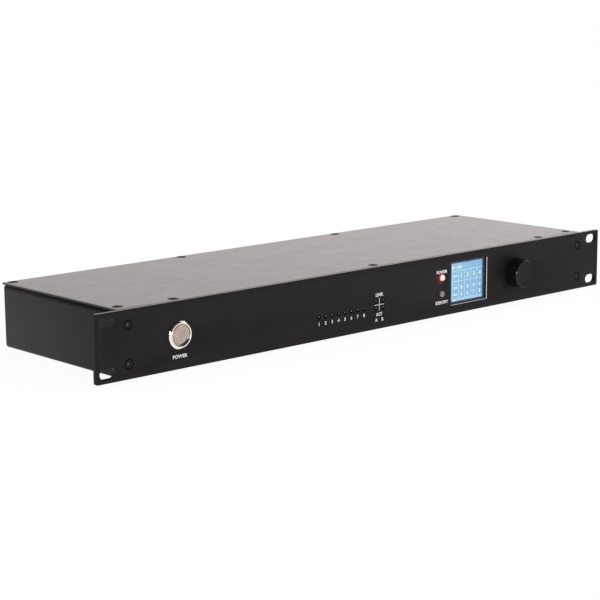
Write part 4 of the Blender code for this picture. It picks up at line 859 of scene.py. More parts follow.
# %% Knob
KNOB_BASE = 10.9 * MM
KNOB_FACE = 10.3 * MM
KNOB_STANDOFF = 1.0 * MM
KNOB_DEPTH = 9.2 * MM
KNOB_CHAMFER = 0.5 * MM
KNOB_CHAMFER_DEPTH = 0.68 * MM
KNOB_RECESS = 7.8 * MM
KNOB_RECESS_DEPTH = 3.6 * MM
KNOB_BORE = 3.3 * MM
KNOB_BORE_DEPTH = 7.9 * MM
KNOB_SKIRT = 0.8 * MM
KNOB_SKIRT_EDGE = 0.15 * MM
KNOB_RIBS = 54
KNOB_DISH = 0.15 * MM
RIB_DEPTH = 0.28 * MM
KNOB_BLACK = (0.004, 0.004, 0.0045)
KNOB_FACE_BLACK = (0.0145, 0.0130, 0.0142)
POLISH = (0.62, 0.13)
POLISH_SPAN = (-8.0 * MM, -3.0 * MM)
knob_place = Vector((middle("knob").x, PANEL_FRONT, AXIS_Z))

top = KNOB_STANDOFF + KNOB_DEPTH
side = np.linspace(0, 1, 5)
side_radius = KNOB_FACE + (KNOB_BASE - KNOB_FACE) * side
side_height = top - KNOB_CHAMFER_DEPTH - (KNOB_DEPTH - 2 * KNOB_SKIRT) * side
bore_floor = KNOB_STANDOFF + KNOB_BORE_DEPTH
recess_floor = KNOB_STANDOFF + KNOB_RECESS_DEPTH
inside = [(0, bore_floor), (KNOB_BORE, bore_floor), (KNOB_BORE, recess_floor),
          (KNOB_RECESS, recess_floor), (KNOB_RECESS, KNOB_STANDOFF)]
skirt = [(KNOB_BASE - KNOB_SKIRT_EDGE, KNOB_STANDOFF), (KNOB_BASE, KNOB_STANDOFF + KNOB_SKIRT_EDGE),
         (KNOB_BASE, KNOB_STANDOFF + KNOB_SKIRT)]
ribbed = list(zip(side_radius[::-1], side_height[::-1]))
nose = [(KNOB_FACE - KNOB_CHAMFER * along, top - KNOB_CHAMFER_DEPTH * (1 - along))
        for along in (0.04, 0.12, 0.88, 0.96)]
nose.append((KNOB_FACE - 1.08 * KNOB_CHAMFER, top))
face = [(radius, top - KNOB_DISH) for radius in (KNOB_FACE - 2.0 * KNOB_CHAMFER, 0.6 * KNOB_FACE, 0)]
knob_profile = [(radius, -height) for radius, height in inside + skirt + ribbed + nose + face]
first_rib = len(inside) + len(skirt)


def ribs(angle, ring):
    """Grooves between ribs on the side's rings, none on the others."""
    groove = (0.5 - 0.5 * np.cos(KNOB_RIBS * angle)) ** 0.6
    return -RIB_DEPTH * groove * ((ring >= first_rib) & (ring < first_rib + len(ribbed)))


def moulded(name, color, roughness, specular=0.5):
    """Moulded plastic: a fine grain, and patches that have been handled smooth."""
    finish = Finish(name, color, roughness, specular_ior_level=specular)
    fine = finish.noise(2600.0, 3.0)
    patch = finish.noise(90.0, 3.0).between(0.35, 0.7)
    finish.set(base_color=finish.blend(patch, shade(color, 0.9), shade(color, 1.12)),
               roughness=fine * 0.10 - patch * 0.05 + (roughness - 0.03))
    finish.bump(fine, 0.006 * MM)
    return finish


knob = build("knob_shell", [turned_rings(knob_profile, KNOB_RIBS * 6, ribs)], knob_place, "front",
             "knob_pressing")
knob_plastic = moulded("knob_plastic", KNOB_BLACK, 0.55, specular=0.15)
forward = PANEL_FRONT - knob_plastic.axis("Y")
radius = knob_plastic.from_axis(knob_place.x, knob_place.z)
on_face = 1 - radius.between(KNOB_FACE - KNOB_CHAMFER, KNOB_FACE - 0.9 * KNOB_CHAMFER)
on_front = forward.between(top - 1.05 * KNOB_CHAMFER_DEPTH, top - 0.95 * KNOB_CHAMFER_DEPTH)
from_left = (knob_plastic.axis("X") - knob_place.x).between(*POLISH_SPAN)
polish = POLISH[0] - from_left * (POLISH[0] - POLISH[1])
knob_plastic.set(base_color=knob_plastic.blend(on_face * on_front, KNOB_BLACK, KNOB_FACE_BLACK),
                 coat_weight=on_front * (1 - on_face) * polish, coat_roughness=0.08)
paint(knob, knob_plastic, "knob")
print("knob ribs:", KNOB_RIBS)

# %% [markdown]
# The display sits in a window cut through the panel. In front is a clear pane. Its sawn edges carry
# light and shine: that is painted light, an emission of the pane's edges. Behind it is the display
# module: a black frame round the lit area, with a faint painted glow of the screen's light on it. A lit
# screen sends out its colour, so it is an emission of strength 1, and the figures on it are thin letters
# in front.

# %% Display module and pane
SCREEN_WIDTH = 33.3 * MM
SCREEN_HEIGHT = 28.3 * MM
SCREEN_SHEET = 0.04 * MM
SCREEN_GAP = 0.01 * MM
SCREEN_BORDER = 1.5 * MM
SCREEN_FADE = 0.35 * MM
MODULE_EDGE = 0.4 * MM
MODULE_GLOW = 0.7
WINDOW_CORNER = 0.5 * MM
PANE_EDGE = 0.12 * MM
PANE_COLOR = (0.02, 0.025, 0.03)
PANE_ALPHA = 0.07
CUT_COLOR = (0.5, 0.5, 0.52)
CUT_ALPHA = 0.85
CUT_GLOW = 0.9
CUT_EDGE = 0.55 * MM
FOOT_EDGE = 0.35 * MM
module_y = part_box("lcd_module")[0].y
module_size = size("lcd_module")
screen_x, screen_z = at_front("lcd_module")


def srgb(red, green, blue):
    """A colour written as a screen shows it, 0 to 255, as linear light."""
    value = np.array([red, green, blue]) / 255
    return tuple(np.where(value <= 0.04045, value / 12.92, ((value + 0.055) / 1.055) ** 2.4).tolist())


module = plate("display_module", round_box(module_size.x, module_size.z, 0.8 * MM,
                                           at_front("lcd_window"), 4),
               module_size.y, MODULE_EDGE, (0, module_y, 0), "front")
module_black = moulded("display_frame", (0.045, 0.060, 0.100), 0.30)
# Painted light: the frame glows a little, as if lit by the screen.
module_black.set(emission_color=srgb(48, 58, 78), emission_strength=MODULE_GLOW)
paint(module, module_black, "lcd_module")

SCREEN_FRONT = module_y - SCREEN_SHEET - SCREEN_GAP
screen = plate("display_lit_area", round_box(SCREEN_WIDTH, SCREEN_HEIGHT, 0.3 * MM,
                                             (screen_x, screen_z), 3),
               SCREEN_SHEET, SCREEN_GAP, (0, SCREEN_FRONT, 0), "front")
lit = Finish("display_light", (0.02, 0.03, 0.04), 0.25, emission_strength=1.0)
across = (lit.axis("X") - (screen_x - SCREEN_WIDTH / 2)) / SCREEN_WIDTH
up = (lit.axis("Z") - (screen_z - SCREEN_HEIGHT / 2)) / SCREEN_HEIGHT
slope = (across * 0.65 + (1 - up) * 0.35).between(0.0, 1.0)
base_light = lit.blend(slope, srgb(156, 205, 230), srgb(125, 180, 226))
from_corner = (across * (SCREEN_WIDTH / SCREEN_BORDER)).math("MINIMUM", up * (SCREEN_HEIGHT / SCREEN_BORDER))
border = 1 - from_corner.between(0.7, 1.0)
framed = lit.blend(border * 0.7, base_light, srgb(194, 236, 240))
inset_x = (0.5 - abs(across - 0.5)) * (SCREEN_WIDTH / SCREEN_FADE)
inset_z = (0.5 - abs(up - 0.5)) * (SCREEN_HEIGHT / SCREEN_FADE)
faded = inset_x.math("MINIMUM", inset_z).between(0.0, 1.0)
lit.set(emission_color=lit.blend(faded, srgb(70, 90, 120), framed))
paint(screen, lit)

pane_low, pane_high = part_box("lcd_window")
pane = plate("display_pane", round_box(window.x, window.z, WINDOW_CORNER, at_front("lcd_window"), 4),
             window.y, PANE_EDGE, (0, pane_low.y, 0), "front")
clear = Finish("display_pane", PANE_COLOR, 0.04, ior=1.49)
near_front = 1 - (clear.axis("Y") - pane_low.y).between(CUT_EDGE, 1.2 * CUT_EDGE)
from_right = clear.axis("X") - (pane_high.x - CUT_EDGE)
from_foot = (pane_low.z + FOOT_EDGE) - clear.axis("Z")
# Painted light: the pane's sawn right edge and foot glow and turn pale, the right edge brighter.
right_edge = from_right.between(0.0, 0.2 * CUT_EDGE) * near_front
cut_edge = right_edge.math("MAXIMUM", from_foot.between(0.0, 0.2 * FOOT_EDGE) * near_front)
painted_edge_glow = clear.blend(right_edge, srgb(164, 170, 182), srgb(190, 198, 206))
clear.set(alpha=cut_edge * CUT_ALPHA + PANE_ALPHA, base_color=clear.blend(cut_edge, PANE_COLOR, CUT_COLOR),
          emission_color=clear.blend(cut_edge, (0.0, 0.0, 0.0), painted_edge_glow), emission_strength=CUT_GLOW)
paint(pane, clear, "lcd_window")
print("screen lit area in mm:", round(SCREEN_WIDTH / MM, 2), "x", round(SCREEN_HEIGHT / MM, 2))

# %% [markdown]
# Printed words are text curves. Each is made a mesh, scaled to the width and height that the word has
# on the panel, turned to face the front and moved to its place. The white legends are one mesh, a few
# hundredths of a millimetre thick, sunk a little into the paint. Letter strokes are made heavier by the
# curve's offset.

# %% Lettering
INK_PROUD = 0.03 * MM
INK_SUNK = 0.02 * MM
STROKE = 0.034


def word(text, height, width=None, offset=STROKE):
    """One word as a mesh about its middle, this high and this wide, in the XY plane, 1 thick."""
    curve = bpy.data.curves.new(text, "FONT")
    curve.body = text
    curve.offset = offset
    curve.extrude = 0.5
    curve.resolution_u = 3
    holder = bpy.data.objects.new(text, curve)
    bpy.context.scene.collection.objects.link(holder)
    bpy.context.view_layer.update()
    mesh = bpy.data.meshes.new_from_object(holder.evaluated_get(bpy.context.evaluated_depsgraph_get()))
    bpy.data.objects.remove(holder)
    points = np.empty(len(mesh.vertices) * 3)
    mesh.vertices.foreach_get("co", points)
    points = points.reshape(-1, 3)
    low, high = points.min(axis=0), points.max(axis=0)
    tall = height / (high[1] - low[1])
    wide = tall if width is None else width / (high[0] - low[0])
    points = (points - (low + high) / 2) * np.array([wide, tall, 1.0])
    mesh.vertices.foreach_set("co", points.reshape(-1))
    return mesh


def bar(x0, x1, z0, z1):
    """A flat bar as a mesh, in the XY plane, 1 thick, already at its place."""
    corners = np.array([[x, y, z] for z in (-0.5, 0.5) for y in (z0, z1) for x in (x0, x1)])
    sides = [(0, 2, 3, 1), (4, 5, 7, 6), (0, 1, 5, 4), (2, 6, 7, 3), (0, 4, 6, 2), (1, 3, 7, 5)]
    mesh = bpy.data.meshes.new("bar")
    mesh.from_pydata(corners.tolist(), [], sides)
    return mesh


def lettering(name, words, front, finish):
    """Join (mesh, x, z) words into one piece whose faces lie INK_PROUD in front of the plane front."""
    bm = bmesh.new()
    thickness = INK_PROUD + INK_SUNK
    for mesh, x, z in words:
        place = (Matrix.Translation((x, front - INK_PROUD + thickness / 2, z))
                 @ Matrix.Rotation(math.pi / 2, 4, "X") @ Matrix.Diagonal((1, 1, thickness, 1)))
        mesh.transform(place)
        bm.from_mesh(mesh)
        bpy.data.meshes.remove(mesh)
    bmesh.ops.remove_doubles(bm, verts=bm.verts, dist=0.0005 * MM)
    bmesh.ops.recalc_face_normals(bm, faces=bm.faces)
    joined = bpy.data.meshes.new(name)
    bm.to_mesh(joined)
    bm.free()
    return paint(ride(name, joined, "case"), finish)


# Each legend is its text, its width, and the X and Z of its middle, in mm.
LEGENDS = [("POWER", 11.6, -176.5, 8.4), ("LINK", 7.3, 0.0, 24.3), ("ACT", 6.0, -0.4, 10.4),
           ("A", None, -3.1, 6.6), ("B", None, 2.8, 6.6), ("POWER", 11.2, 63.1, 32.3),
           ("IDENTIFY", 13.1, 63.2, 10.0)]
LEGEND_HEIGHT = 2.4 * MM
DIGIT_Z = 11.6 * MM
CROSS_LINE = 0.2 * MM
CROSS = [(-0.2 * MM - CROSS_LINE, -0.2 * MM + CROSS_LINE, 13.0 * MM, 22.0 * MM),
         (-4.9 * MM, 4.2 * MM, 17.2 * MM - CROSS_LINE, 17.2 * MM + CROSS_LINE)]
ink = Finish("legend_ink", srgb(250, 250, 252), 0.55)
ink.bump(ink.noise(4000.0, 2.0), 0.004 * MM)
words = [(word(text, LEGEND_HEIGHT, width and width * MM), x * MM, z * MM) for text, width, x, z in LEGENDS]
words += [(word(str(i), LEGEND_HEIGHT), x, DIGIT_Z) for i, (x, _) in enumerate(PORT_PLACES, start=1)]
words += [(bar(*edges), 0.0, 0.0) for edges in CROSS]
legends = lettering("panel_legends", words, PANEL_FRONT, ink)
print("legend faces:", len(legends.data.polygons))

# %% [markdown]
# The screen shows a small table of plain numbers: a head, a rule, four columns and a foot.

# %% Figures on the screen
TABLE_LEFT = 77.6 * MM
TABLE_RIGHT = 109.6 * MM
TABLE_COLUMNS = [x * MM for x in (84.0, 90.6, 97.2, 103.6)]
TABLE_ROWS = [z * MM for z in (30.4, 22.6, 9.8)]
FIGURE_COLUMNS = [x * MM for x in (87.3, 93.9, 100.5, 107.0)]
FIGURE_ROWS = [(26.5 * MM, 3.2 * MM, "01", "1234"), (17.8 * MM, 2.9 * MM, "02", "0000"),
               (12.8 * MM, 2.9 * MM, "03", "5678")]
GRID_LINE = 0.275 * MM
figures = [(word("1-8", 2.2 * MM, 9.6 * MM), 82.6 * MM, 33.0 * MM),
           (word("10", 1.5 * MM), 79.6 * MM, 8.7 * MM)]
figures += [(word(digit, height, offset=0.045), x, z)
            for z, height, _, digits in FIGURE_ROWS for digit, x in zip(digits, FIGURE_COLUMNS)]
figures += [(word(label, 1.6 * MM, 4.2 * MM), 80.6 * MM, z) for z, _, label, _ in FIGURE_ROWS]
grid = [(bar(TABLE_LEFT, TABLE_RIGHT, z - GRID_LINE, z + GRID_LINE), 0.0, 0.0) for z in TABLE_ROWS]
grid += [(bar(x - GRID_LINE, x + GRID_LINE, TABLE_ROWS[-1], TABLE_ROWS[0]), 0.0, 0.0)
         for x in TABLE_COLUMNS]


def screen_ink(name, color):
    """A letter that shines on the screen."""
    finish = Finish(name, (0.1, 0.1, 0.1), 0.3, emission_strength=1.0, emission_color=color)
    finish.bump(finish.noise(3000.0), 0.002 * MM)
    return finish


lettering("screen_grid", grid, SCREEN_FRONT, screen_ink("screen_pale", srgb(178, 220, 248)))
lettering("screen_figures", figures, SCREEN_FRONT - INK_PROUD,
          screen_ink("screen_white", srgb(214, 246, 255)))
print("screen figures:", len(figures))

# %% [markdown]
# Two round lamps and twelve light pipes show through the panel. A lamp is a dome of clear epoxy: lit,
# it is palest at the middle, where the chip is seen, and reddest at its foot. Unlit, it is a milky
# grey. A light pipe is a clear rod whose rounded end lies just under the paint. The end is painted
# dark, as painted shade in its hole, round a pale painted highlight set a little to the right and up,
# where the rounded end's reflection falls.

# %% Lamps and light pipes
LAMP_RADIUS = 2.5 * MM
LAMP_PROUD = 1.6 * MM
LAMP_FLANGE = 2.95 * MM
BEHIND_PANEL = PANEL_THICKNESS + 0.3 * MM
PIPE_RADIUS = 1.0 * MM
PIPE_RECESS = 0.1 * MM
PIPE_DOME = 0.5 * MM
PIPE_BAR = 2.0 * MM
HIGHLIGHT_SHIFT = np.array([0.3, 0.25]) * MM


def lamp(name, node, epoxy, core, body, foot, strength):
    """A round lamp with its dome through the panel and its flange behind. Its epoxy has one colour at
    the middle, another at the dome's foot, and is lit from inside."""
    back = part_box(node)[1].y - PANEL_FRONT
    dome = arc(0, LAMP_PROUD - LAMP_RADIUS, LAMP_RADIUS, 90, 0, 10)[1:]
    profile = [(0, -LAMP_PROUD), *[(radius, -height) for radius, height in dome],
               (LAMP_RADIUS, BEHIND_PANEL), (LAMP_FLANGE, BEHIND_PANEL), (LAMP_FLANGE, back), (0, back)]
    x, z = at_front(node)
    piece = build(name, [turned_rings(profile, 32)], (x, PANEL_FRONT, z), "front")
    finish = Finish(epoxy, body, 0.12, ior=1.5, emission_strength=strength)
    distance = finish.from_axis(x, z)
    inner = finish.blend(distance.between(0.5 * MM, 2.0 * MM), core, body)
    color = finish.blend(distance.between(1.8 * MM, LAMP_RADIUS), inner, foot)
    haze = finish.noise(900.0, 2.0) * 0.15
    finish.set(base_color=finish.blend(haze, color, shade(body, 0.5)), emission_color=color)
    paint(piece, finish, node)


lamp("power_lamp", "power_led", "red_epoxy_lit",
     srgb(255, 232, 226), srgb(253, 206, 196), srgb(222, 112, 100), 0.70)
lamp("identify_lamp", "identify_led", "grey_epoxy",
     srgb(132, 115, 117), srgb(186, 169, 171), srgb(140, 121, 123), 0.0)

pipe_clear = Finish("light_pipe", srgb(120, 118, 120), 0.5, ior=1.49, specular_ior_level=0.03)
pipe_mist = pipe_clear.noise(700.0, 3.0)
pipe_highlight = pipe_clear.blend(pipe_mist, srgb(150, 149, 153), srgb(185, 184, 188))
# Painted highlight: a pale spot on each rod's end, with painted shade round it.
pipe_clear.set(base_color=pipe_clear.blend(pipe_clear.attribute("painted_highlight"), srgb(6, 6, 8), pipe_highlight))
pipe_clear.bump(pipe_mist, 0.02 * MM)


def light_pipes(name, node, places):
    """A bar behind the panel with one rod for each lamp hole, all one piece."""
    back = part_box(node)[1].y - PANEL_FRONT
    width, height = np.ptp(np.array(places), axis=0) + 2 * PIPE_BAR
    rods = range(1, 1 + len(places))
    dome = arc(0, 0, PIPE_RADIUS, 90, 0, 6)[1:]
    rod = [(0, PIPE_RECESS), *[(r, PIPE_RECESS + PIPE_DOME * (1 - z / PIPE_RADIUS)) for r, z in dome],
           (PIPE_RADIUS, BEHIND_PANEL)]
    bands = [rim(round_box(width, height, 0.8 * MM, at_front(node), 3), back - BEHIND_PANEL, 0.2 * MM,
                 start=BEHIND_PANEL), *[turned_rings(rod, 20, centre=place) for place in places]]
    piece = build(name, bands, (0, PANEL_FRONT, 0), "front",
                  fill=[[(0, 0), *[(i, 1) for i in rods]], [(0, 1)]])
    # The painted highlight sits a little right of and above each rod's middle.
    mark(piece, "painted_highlight", (0, 2), np.array(places) + HIGHLIGHT_SHIFT, 0.3 * MM, 0.6 * MM)
    paint(piece, pipe_clear, node)


light_pipes("port_lamps", "port_light_pipes", PORT_PLACES)
light_pipes("link_lamps", "link_light_pipes", LINK_PLACES)
print("lamps:", 2 + len(LAMP_HOLES))

# %% [markdown]
# The back wall isn't in the photograph. It holds what such a product has there: eight round five-pole
# outlets, two network sockets and a mains inlet. All but the inlet share one flange: a plate with round
# corners, a collar, a bore, two screws and a push tab at the top. The part is made of rings as the
# panel is. The tab's pocket cuts across collar and bore, which rings can't do, so it is cut out.

# %% Shells of the round sockets
FLANGE_WIDTH = 26.0 * MM
FLANGE_HEIGHT = 31.0 * MM
FLANGE_THICKNESS = 2.0 * MM
FLANGE_CORNER = 3.0 * MM
COLLAR_RADIUS = 11.6 * MM
COLLAR_HEIGHT = 1.5 * MM
BORE_RADIUS = 9.3 * MM
BARREL_RADIUS = 11.9 * MM
BARREL_END = FLANGE_THICKNESS + 22.0 * MM
OUTLET_FLOOR = FLANGE_THICKNESS + 14.0 * MM
NETWORK_FLOOR = FLANGE_THICKNESS + 6.0 * MM
INSERT_RADIUS = 6.9 * MM
INSERT_RECESS = 1.5 * MM
INSERT_TOP = INSERT_RECESS - COLLAR_HEIGHT
CONTACT_CIRCLE = 4.2 * MM
CONTACT_RADIUS = 1.2 * MM
CONTACT_DEPTH = 6.0 * MM
CONTACT_PLACES = [(CONTACT_CIRCLE * math.cos(angle), CONTACT_CIRCLE * math.sin(angle))
                  for angle in np.radians(-90 + 60 * (np.arange(5) - 2))]
JACK_WIDTH = 11.8 * MM
JACK_HEIGHT = 8.2 * MM
JACK_DEPTH = 12.0 * MM
ROUNDING = 0.3 * MM
WALL_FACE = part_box("data_outlet_1")[1].y - COLLAR_HEIGHT


def socket_bands(floor):
    """Bands of a socket's flange, its collar and bore down to a floor, and its barrel."""
    flange = rim(round_box(FLANGE_WIDTH, FLANGE_HEIGHT, FLANGE_CORNER), FLANGE_THICKNESS, ROUNDING)
    edge = 0.5 * ROUNDING
    collar = [(COLLAR_RADIUS, 0), (COLLAR_RADIUS, ROUNDING - COLLAR_HEIGHT),
              (COLLAR_RADIUS - 0.3 * ROUNDING, 0.3 * ROUNDING - COLLAR_HEIGHT),
              (COLLAR_RADIUS - ROUNDING, -COLLAR_HEIGHT), (BORE_RADIUS + edge, -COLLAR_HEIGHT),
              (BORE_RADIUS + 0.3 * edge, 0.3 * edge - COLLAR_HEIGHT),
              (BORE_RADIUS, edge - COLLAR_HEIGHT), (BORE_RADIUS, floor)]
    barrel = [(BARREL_RADIUS, FLANGE_THICKNESS), (BARREL_RADIUS, BARREL_END - ROUNDING),
              (BARREL_RADIUS - ROUNDING, BARREL_END), (0, BARREL_END)]
    return [flange, turned_rings(collar, 64), turned_rings(barrel, 64)]


def outlet_shell():
    """Bands and flat faces of a five-pole outlet: a bore round an insert with five contact holes."""
    insert = [(INSERT_RADIUS, OUTLET_FLOOR), (INSERT_RADIUS, INSERT_TOP + ROUNDING),
              (INSERT_RADIUS - 0.3 * ROUNDING, INSERT_TOP + 0.3 * ROUNDING),
              (INSERT_RADIUS - ROUNDING, INSERT_TOP)]
    hole = [(CONTACT_RADIUS + 0.15 * MM, INSERT_TOP), (CONTACT_RADIUS, INSERT_TOP + 0.15 * MM),
            (CONTACT_RADIUS, INSERT_TOP + CONTACT_DEPTH), (0, INSERT_TOP + CONTACT_DEPTH)]
    bands = [*socket_bands(OUTLET_FLOOR), turned_rings(insert, 64),
             *[turned_rings(hole, 20, centre=place) for place in CONTACT_PLACES]]
    return bands, [[(0, 0), (1, 0)], [(0, 1), (2, 0)], [(1, 1), (3, 0)],
                   [(3, 1), *[(i, 0) for i in range(4, len(bands))]]]


def network_shell():
    """Bands and flat faces of a network socket: a shorter bore with the jack's square well below."""
    mouth = round_box(JACK_WIDTH, JACK_HEIGHT, 0.4 * MM, steps=3)
    well = rim(mouth, JACK_DEPTH, 0.2 * MM, hole=True, start=NETWORK_FLOOR)
    return [*socket_bands(NETWORK_FLOOR), well], [[(0, 0), (1, 0)], [(0, 1), (2, 0)], [(1, 1), (3, 0)],
                                                  [(3, 1)]]


print("outer faces of the sockets' flanges lie at y", round(WALL_FACE / MM, 2), "mm")

# %% [markdown]
# The push tab is a small plate with a stem. At rest it stands proud of the collar, and pressed it goes
# into its pocket. So the pocket is wider than the tab by a gap on each side, and its floor lies a gap
# below the pressed tab.

# %% Push tab and its pocket
LATCH_WIDTH = 7.8 * MM
LATCH_LOW = 10.0 * MM
LATCH_HIGH = 14.1 * MM
LATCH_THICKNESS = 2.4 * MM
LATCH_TRAVEL = 1.5 * MM
LATCH_GAP = 0.3 * MM
POCKET_FLOOR = FLANGE_THICKNESS - 0.4 * MM
STEM_WIDTH = 4.6 * MM
STEM_END = FLANGE_THICKNESS + 5.0 * MM
STEM_DROP = 1.6 * MM
STEM_THICKNESS = 0.8 * MM
STEM_ROOM = 0.5 * MM


def box_band(width, low, high, top, bottom, corner):
    """A band round a box, from depth top to depth bottom, standing between two heights."""
    return swept(round_box(width, high - low, corner, (0, (low + high) / 2), 3), [(0, top), (0, bottom)])


def latch_tab():
    """Bands and flat faces of the push tab, with rounded edges, and its stem."""
    top = POCKET_FLOOR - LATCH_GAP - LATCH_TRAVEL - LATCH_THICKNESS
    outline = round_box(LATCH_WIDTH, LATCH_HIGH - LATCH_LOW, 0.5 * MM, (0, (LATCH_LOW + LATCH_HIGH) / 2), 4)
    tab = rim(outline, LATCH_THICKNESS, 0.35 * MM, start=top)
    stem = box_band(STEM_WIDTH, LATCH_LOW + 0.4 * MM, LATCH_LOW + STEM_THICKNESS,
                    top + LATCH_THICKNESS - 0.01 * MM, STEM_END, 0.15 * MM)
    return [tab, stem], [[(0, 0)], [(0, 1), (1, 0)], [(1, 1)]]


def cut_pocket(piece, origin):
    """Cut the pocket for the tab and the slot for its stem out of a socket's shell."""
    pocket = box_band(LATCH_WIDTH + 2 * LATCH_GAP, LATCH_LOW - LATCH_GAP, LATCH_HIGH + LATCH_GAP,
                      -COLLAR_HEIGHT - 1.0 * MM, POCKET_FLOOR, 0.3 * MM)
    slot = box_band(STEM_WIDTH + 2 * LATCH_GAP, LATCH_LOW - STEM_DROP,
                    LATCH_LOW + STEM_THICKNESS + LATCH_GAP,
                    POCKET_FLOOR - 1.0 * MM, STEM_END + LATCH_TRAVEL + STEM_ROOM, 0.2 * MM)
    cutters = [build("cutter", [band], origin, "back", fill=[[(0, 0)], [(0, 1)]]) for band in (pocket, slot)]
    for cutter in cutters:
        cut = piece.modifiers.new("pocket", "BOOLEAN")
        cut.operation = "DIFFERENCE"
        cut.solver = "EXACT"
        cut.object = cutter
    bpy.context.view_layer.update()
    graph = bpy.context.evaluated_depsgraph_get()
    piece.data = bpy.data.meshes.new_from_object(piece.evaluated_get(graph))
    piece.modifiers.clear()
    piece.data.set_sharp_from_angle(angle=math.radians(SHARP_DEGREES))
    for cutter in cutters:
        bpy.data.objects.remove(cutter)


print("a tab's travel in mm:", round(LATCH_TRAVEL / MM, 2))

# %% [markdown]
# Five gold sleeves sit in an outlet's insert. A network socket has eight flat gold contacts in the
# jack's roof: springs that slope down into it along a quarter of a sine wave.

# %% Contacts
SLEEVE_GAP = 0.05 * MM
SLEEVE_WALL = 0.3 * MM
SLEEVE_DEPTH = 4.5 * MM
SPRINGS = 8
SPRING_PITCH = 1.02 * MM
SPRING_WIDTH = 0.5 * MM
SPRING_THICKNESS = 0.25 * MM
SPRING_START = 1.2 * MM
SPRING_RUN = 8.5 * MM
SPRING_RISE = 2.6 * MM


def sleeves():
    """Five gold sleeves, each a tube just inside its hole."""
    top = INSERT_TOP + 0.5 * MM
    outer = CONTACT_RADIUS - SLEEVE_GAP
    inner = outer - SLEEVE_WALL
    tube = [(outer, top + 0.1 * MM), (0.5 * (outer + inner), top), (inner, top + 0.1 * MM),
            (inner, top + SLEEVE_DEPTH), (0, top + SLEEVE_DEPTH)]
    return [turned_rings(tube, 18, centre=place) for place in CONTACT_PLACES], []


def springs():
    """Eight contact springs, each a flat strip that slopes down into the jack."""
    run = np.linspace(0, 1, 6)[:, None]
    depth = NETWORK_FLOOR + SPRING_START + SPRING_RUN * run
    height = JACK_HEIGHT / 2 - 0.5 * MM - SPRING_RISE * np.sin(run * np.pi / 2)
    across, up = np.array([(-1, -1), (1, -1), (1, 1), (-1, 1)]).T / 2
    middles = SPRING_PITCH * (np.arange(SPRINGS) - (SPRINGS - 1) / 2)
    bands = [np.stack(np.broadcast_arrays(x + SPRING_WIDTH * across, height + SPRING_THICKNESS * up, depth),
                      axis=-1) for x in middles]
    return bands, [[(i, end)] for i in range(SPRINGS) for end in (0, 1)]


print("contacts:", len(CONTACT_PLACES), "in an outlet and", SPRINGS, "in a network socket")

# %% [markdown]
# The shells are black plastic, the tabs are nickel plated, the contacts gold and the screws steel. Each
# piece on the wall takes its X from the CAD node behind it, so one function dresses all ten sockets.

# %% Round sockets
FLANGE_SCREWS = [(9.5 * MM, 12.0 * MM), (-9.5 * MM, -12.0 * MM)]
FLANGE_SCREW_RADIUS = 2.7 * MM
FLANGE_SCREW_HEIGHT = 0.5 * MM

socket_black = moulded("socket_plastic", (0.016, 0.016, 0.017), 0.40)
plated = Finish("latch_nickel", (0.60, 0.59, 0.57), 0.26, 1.0)
plated_noise = plated.noise(1500.0, 3.0)
plated.set(roughness=plated_noise * 0.14 + 0.19,
           base_color=plated.blend(plated_noise, (0.52, 0.51, 0.49), (0.68, 0.67, 0.65)))
plated.bump(plated.noise(3200.0, 2.0), 0.004 * MM)
screw_zinc = Finish("flange_screw_steel", (0.045, 0.045, 0.047), 0.32, 0.7)
zinc_noise = screw_zinc.noise(1400.0, 3.0)
screw_zinc.set(base_color=screw_zinc.blend(zinc_noise, (0.03, 0.03, 0.032), (0.08, 0.08, 0.082)))
contact_gold = Finish("contact_gold", (0.78, 0.55, 0.22), 0.22, 1.0)
contact_gold.set(roughness=contact_gold.noise(2600.0, 2.0) * 0.15 + 0.15)


def flange_screws(places):
    """Domed screw heads with a dimple, standing on a flange."""
    radius, height = FLANGE_SCREW_RADIUS, FLANGE_SCREW_HEIGHT
    profile = [(radius, 0.05 * MM), (radius, -0.1 * MM), (0.9 * radius, -0.7 * height),
               (0.6 * radius, -height), (0.36 * radius, -height), (0.3 * radius, -0.1 * MM), (0, 0)]
    return [turned_rings(profile, 28, centre=place) for place in places], [[(0, 0)], [(1, 0)]]


def wall_piece(name, node, shape, finish, slot=None, body="case", pocket=False):
    """A piece on the back wall, at a node's X. Given a slot, it hides the CAD node that it stands for; the
    slot's name itself is not used.
    """
    bands, flats = shape
    origin = (middle(node).x, WALL_FACE, AXIS_Z)
    piece = build(name, bands, origin, "back", body, flats)
    if pocket:
        cut_pocket(piece, origin)
    return paint(piece, finish, node if slot else None)


def dress_socket(node, kind, shell, contacts):
    """A socket's shell with its pocket, its contacts and two screws, and the tab that moves."""
    label = node.rsplit("_", 1)[1]
    latch = f"{kind}_latch_{label}"
    wall_piece(f"{kind}_shell_{label}", node, shell(), socket_black, "socket_plastic", pocket=True)
    wall_piece(f"{kind}_contacts_{label}", node, contacts(), contact_gold)
    wall_piece(f"{kind}_screws_{label}", node, flange_screws(FLANGE_SCREWS), screw_zinc)
    wall_piece(f"{kind}_tab_{label}", latch, latch_tab(), plated, "latch_metal", latch)


outlets = sorted(name for name in nodes if name.startswith("data_outlet"))
for node in outlets:
    dress_socket(node, "outlet", outlet_shell, sleeves)
for node in ("network_socket_a", "network_socket_b"):
    dress_socket(node, "network", network_shell, springs)
print("outlets:", len(outlets))

# %% [markdown]
# The mains inlet is a flange with a deep six-sided mouth and three flat pins. All of it is one piece,
# and the faces of its pins get the plated metal.

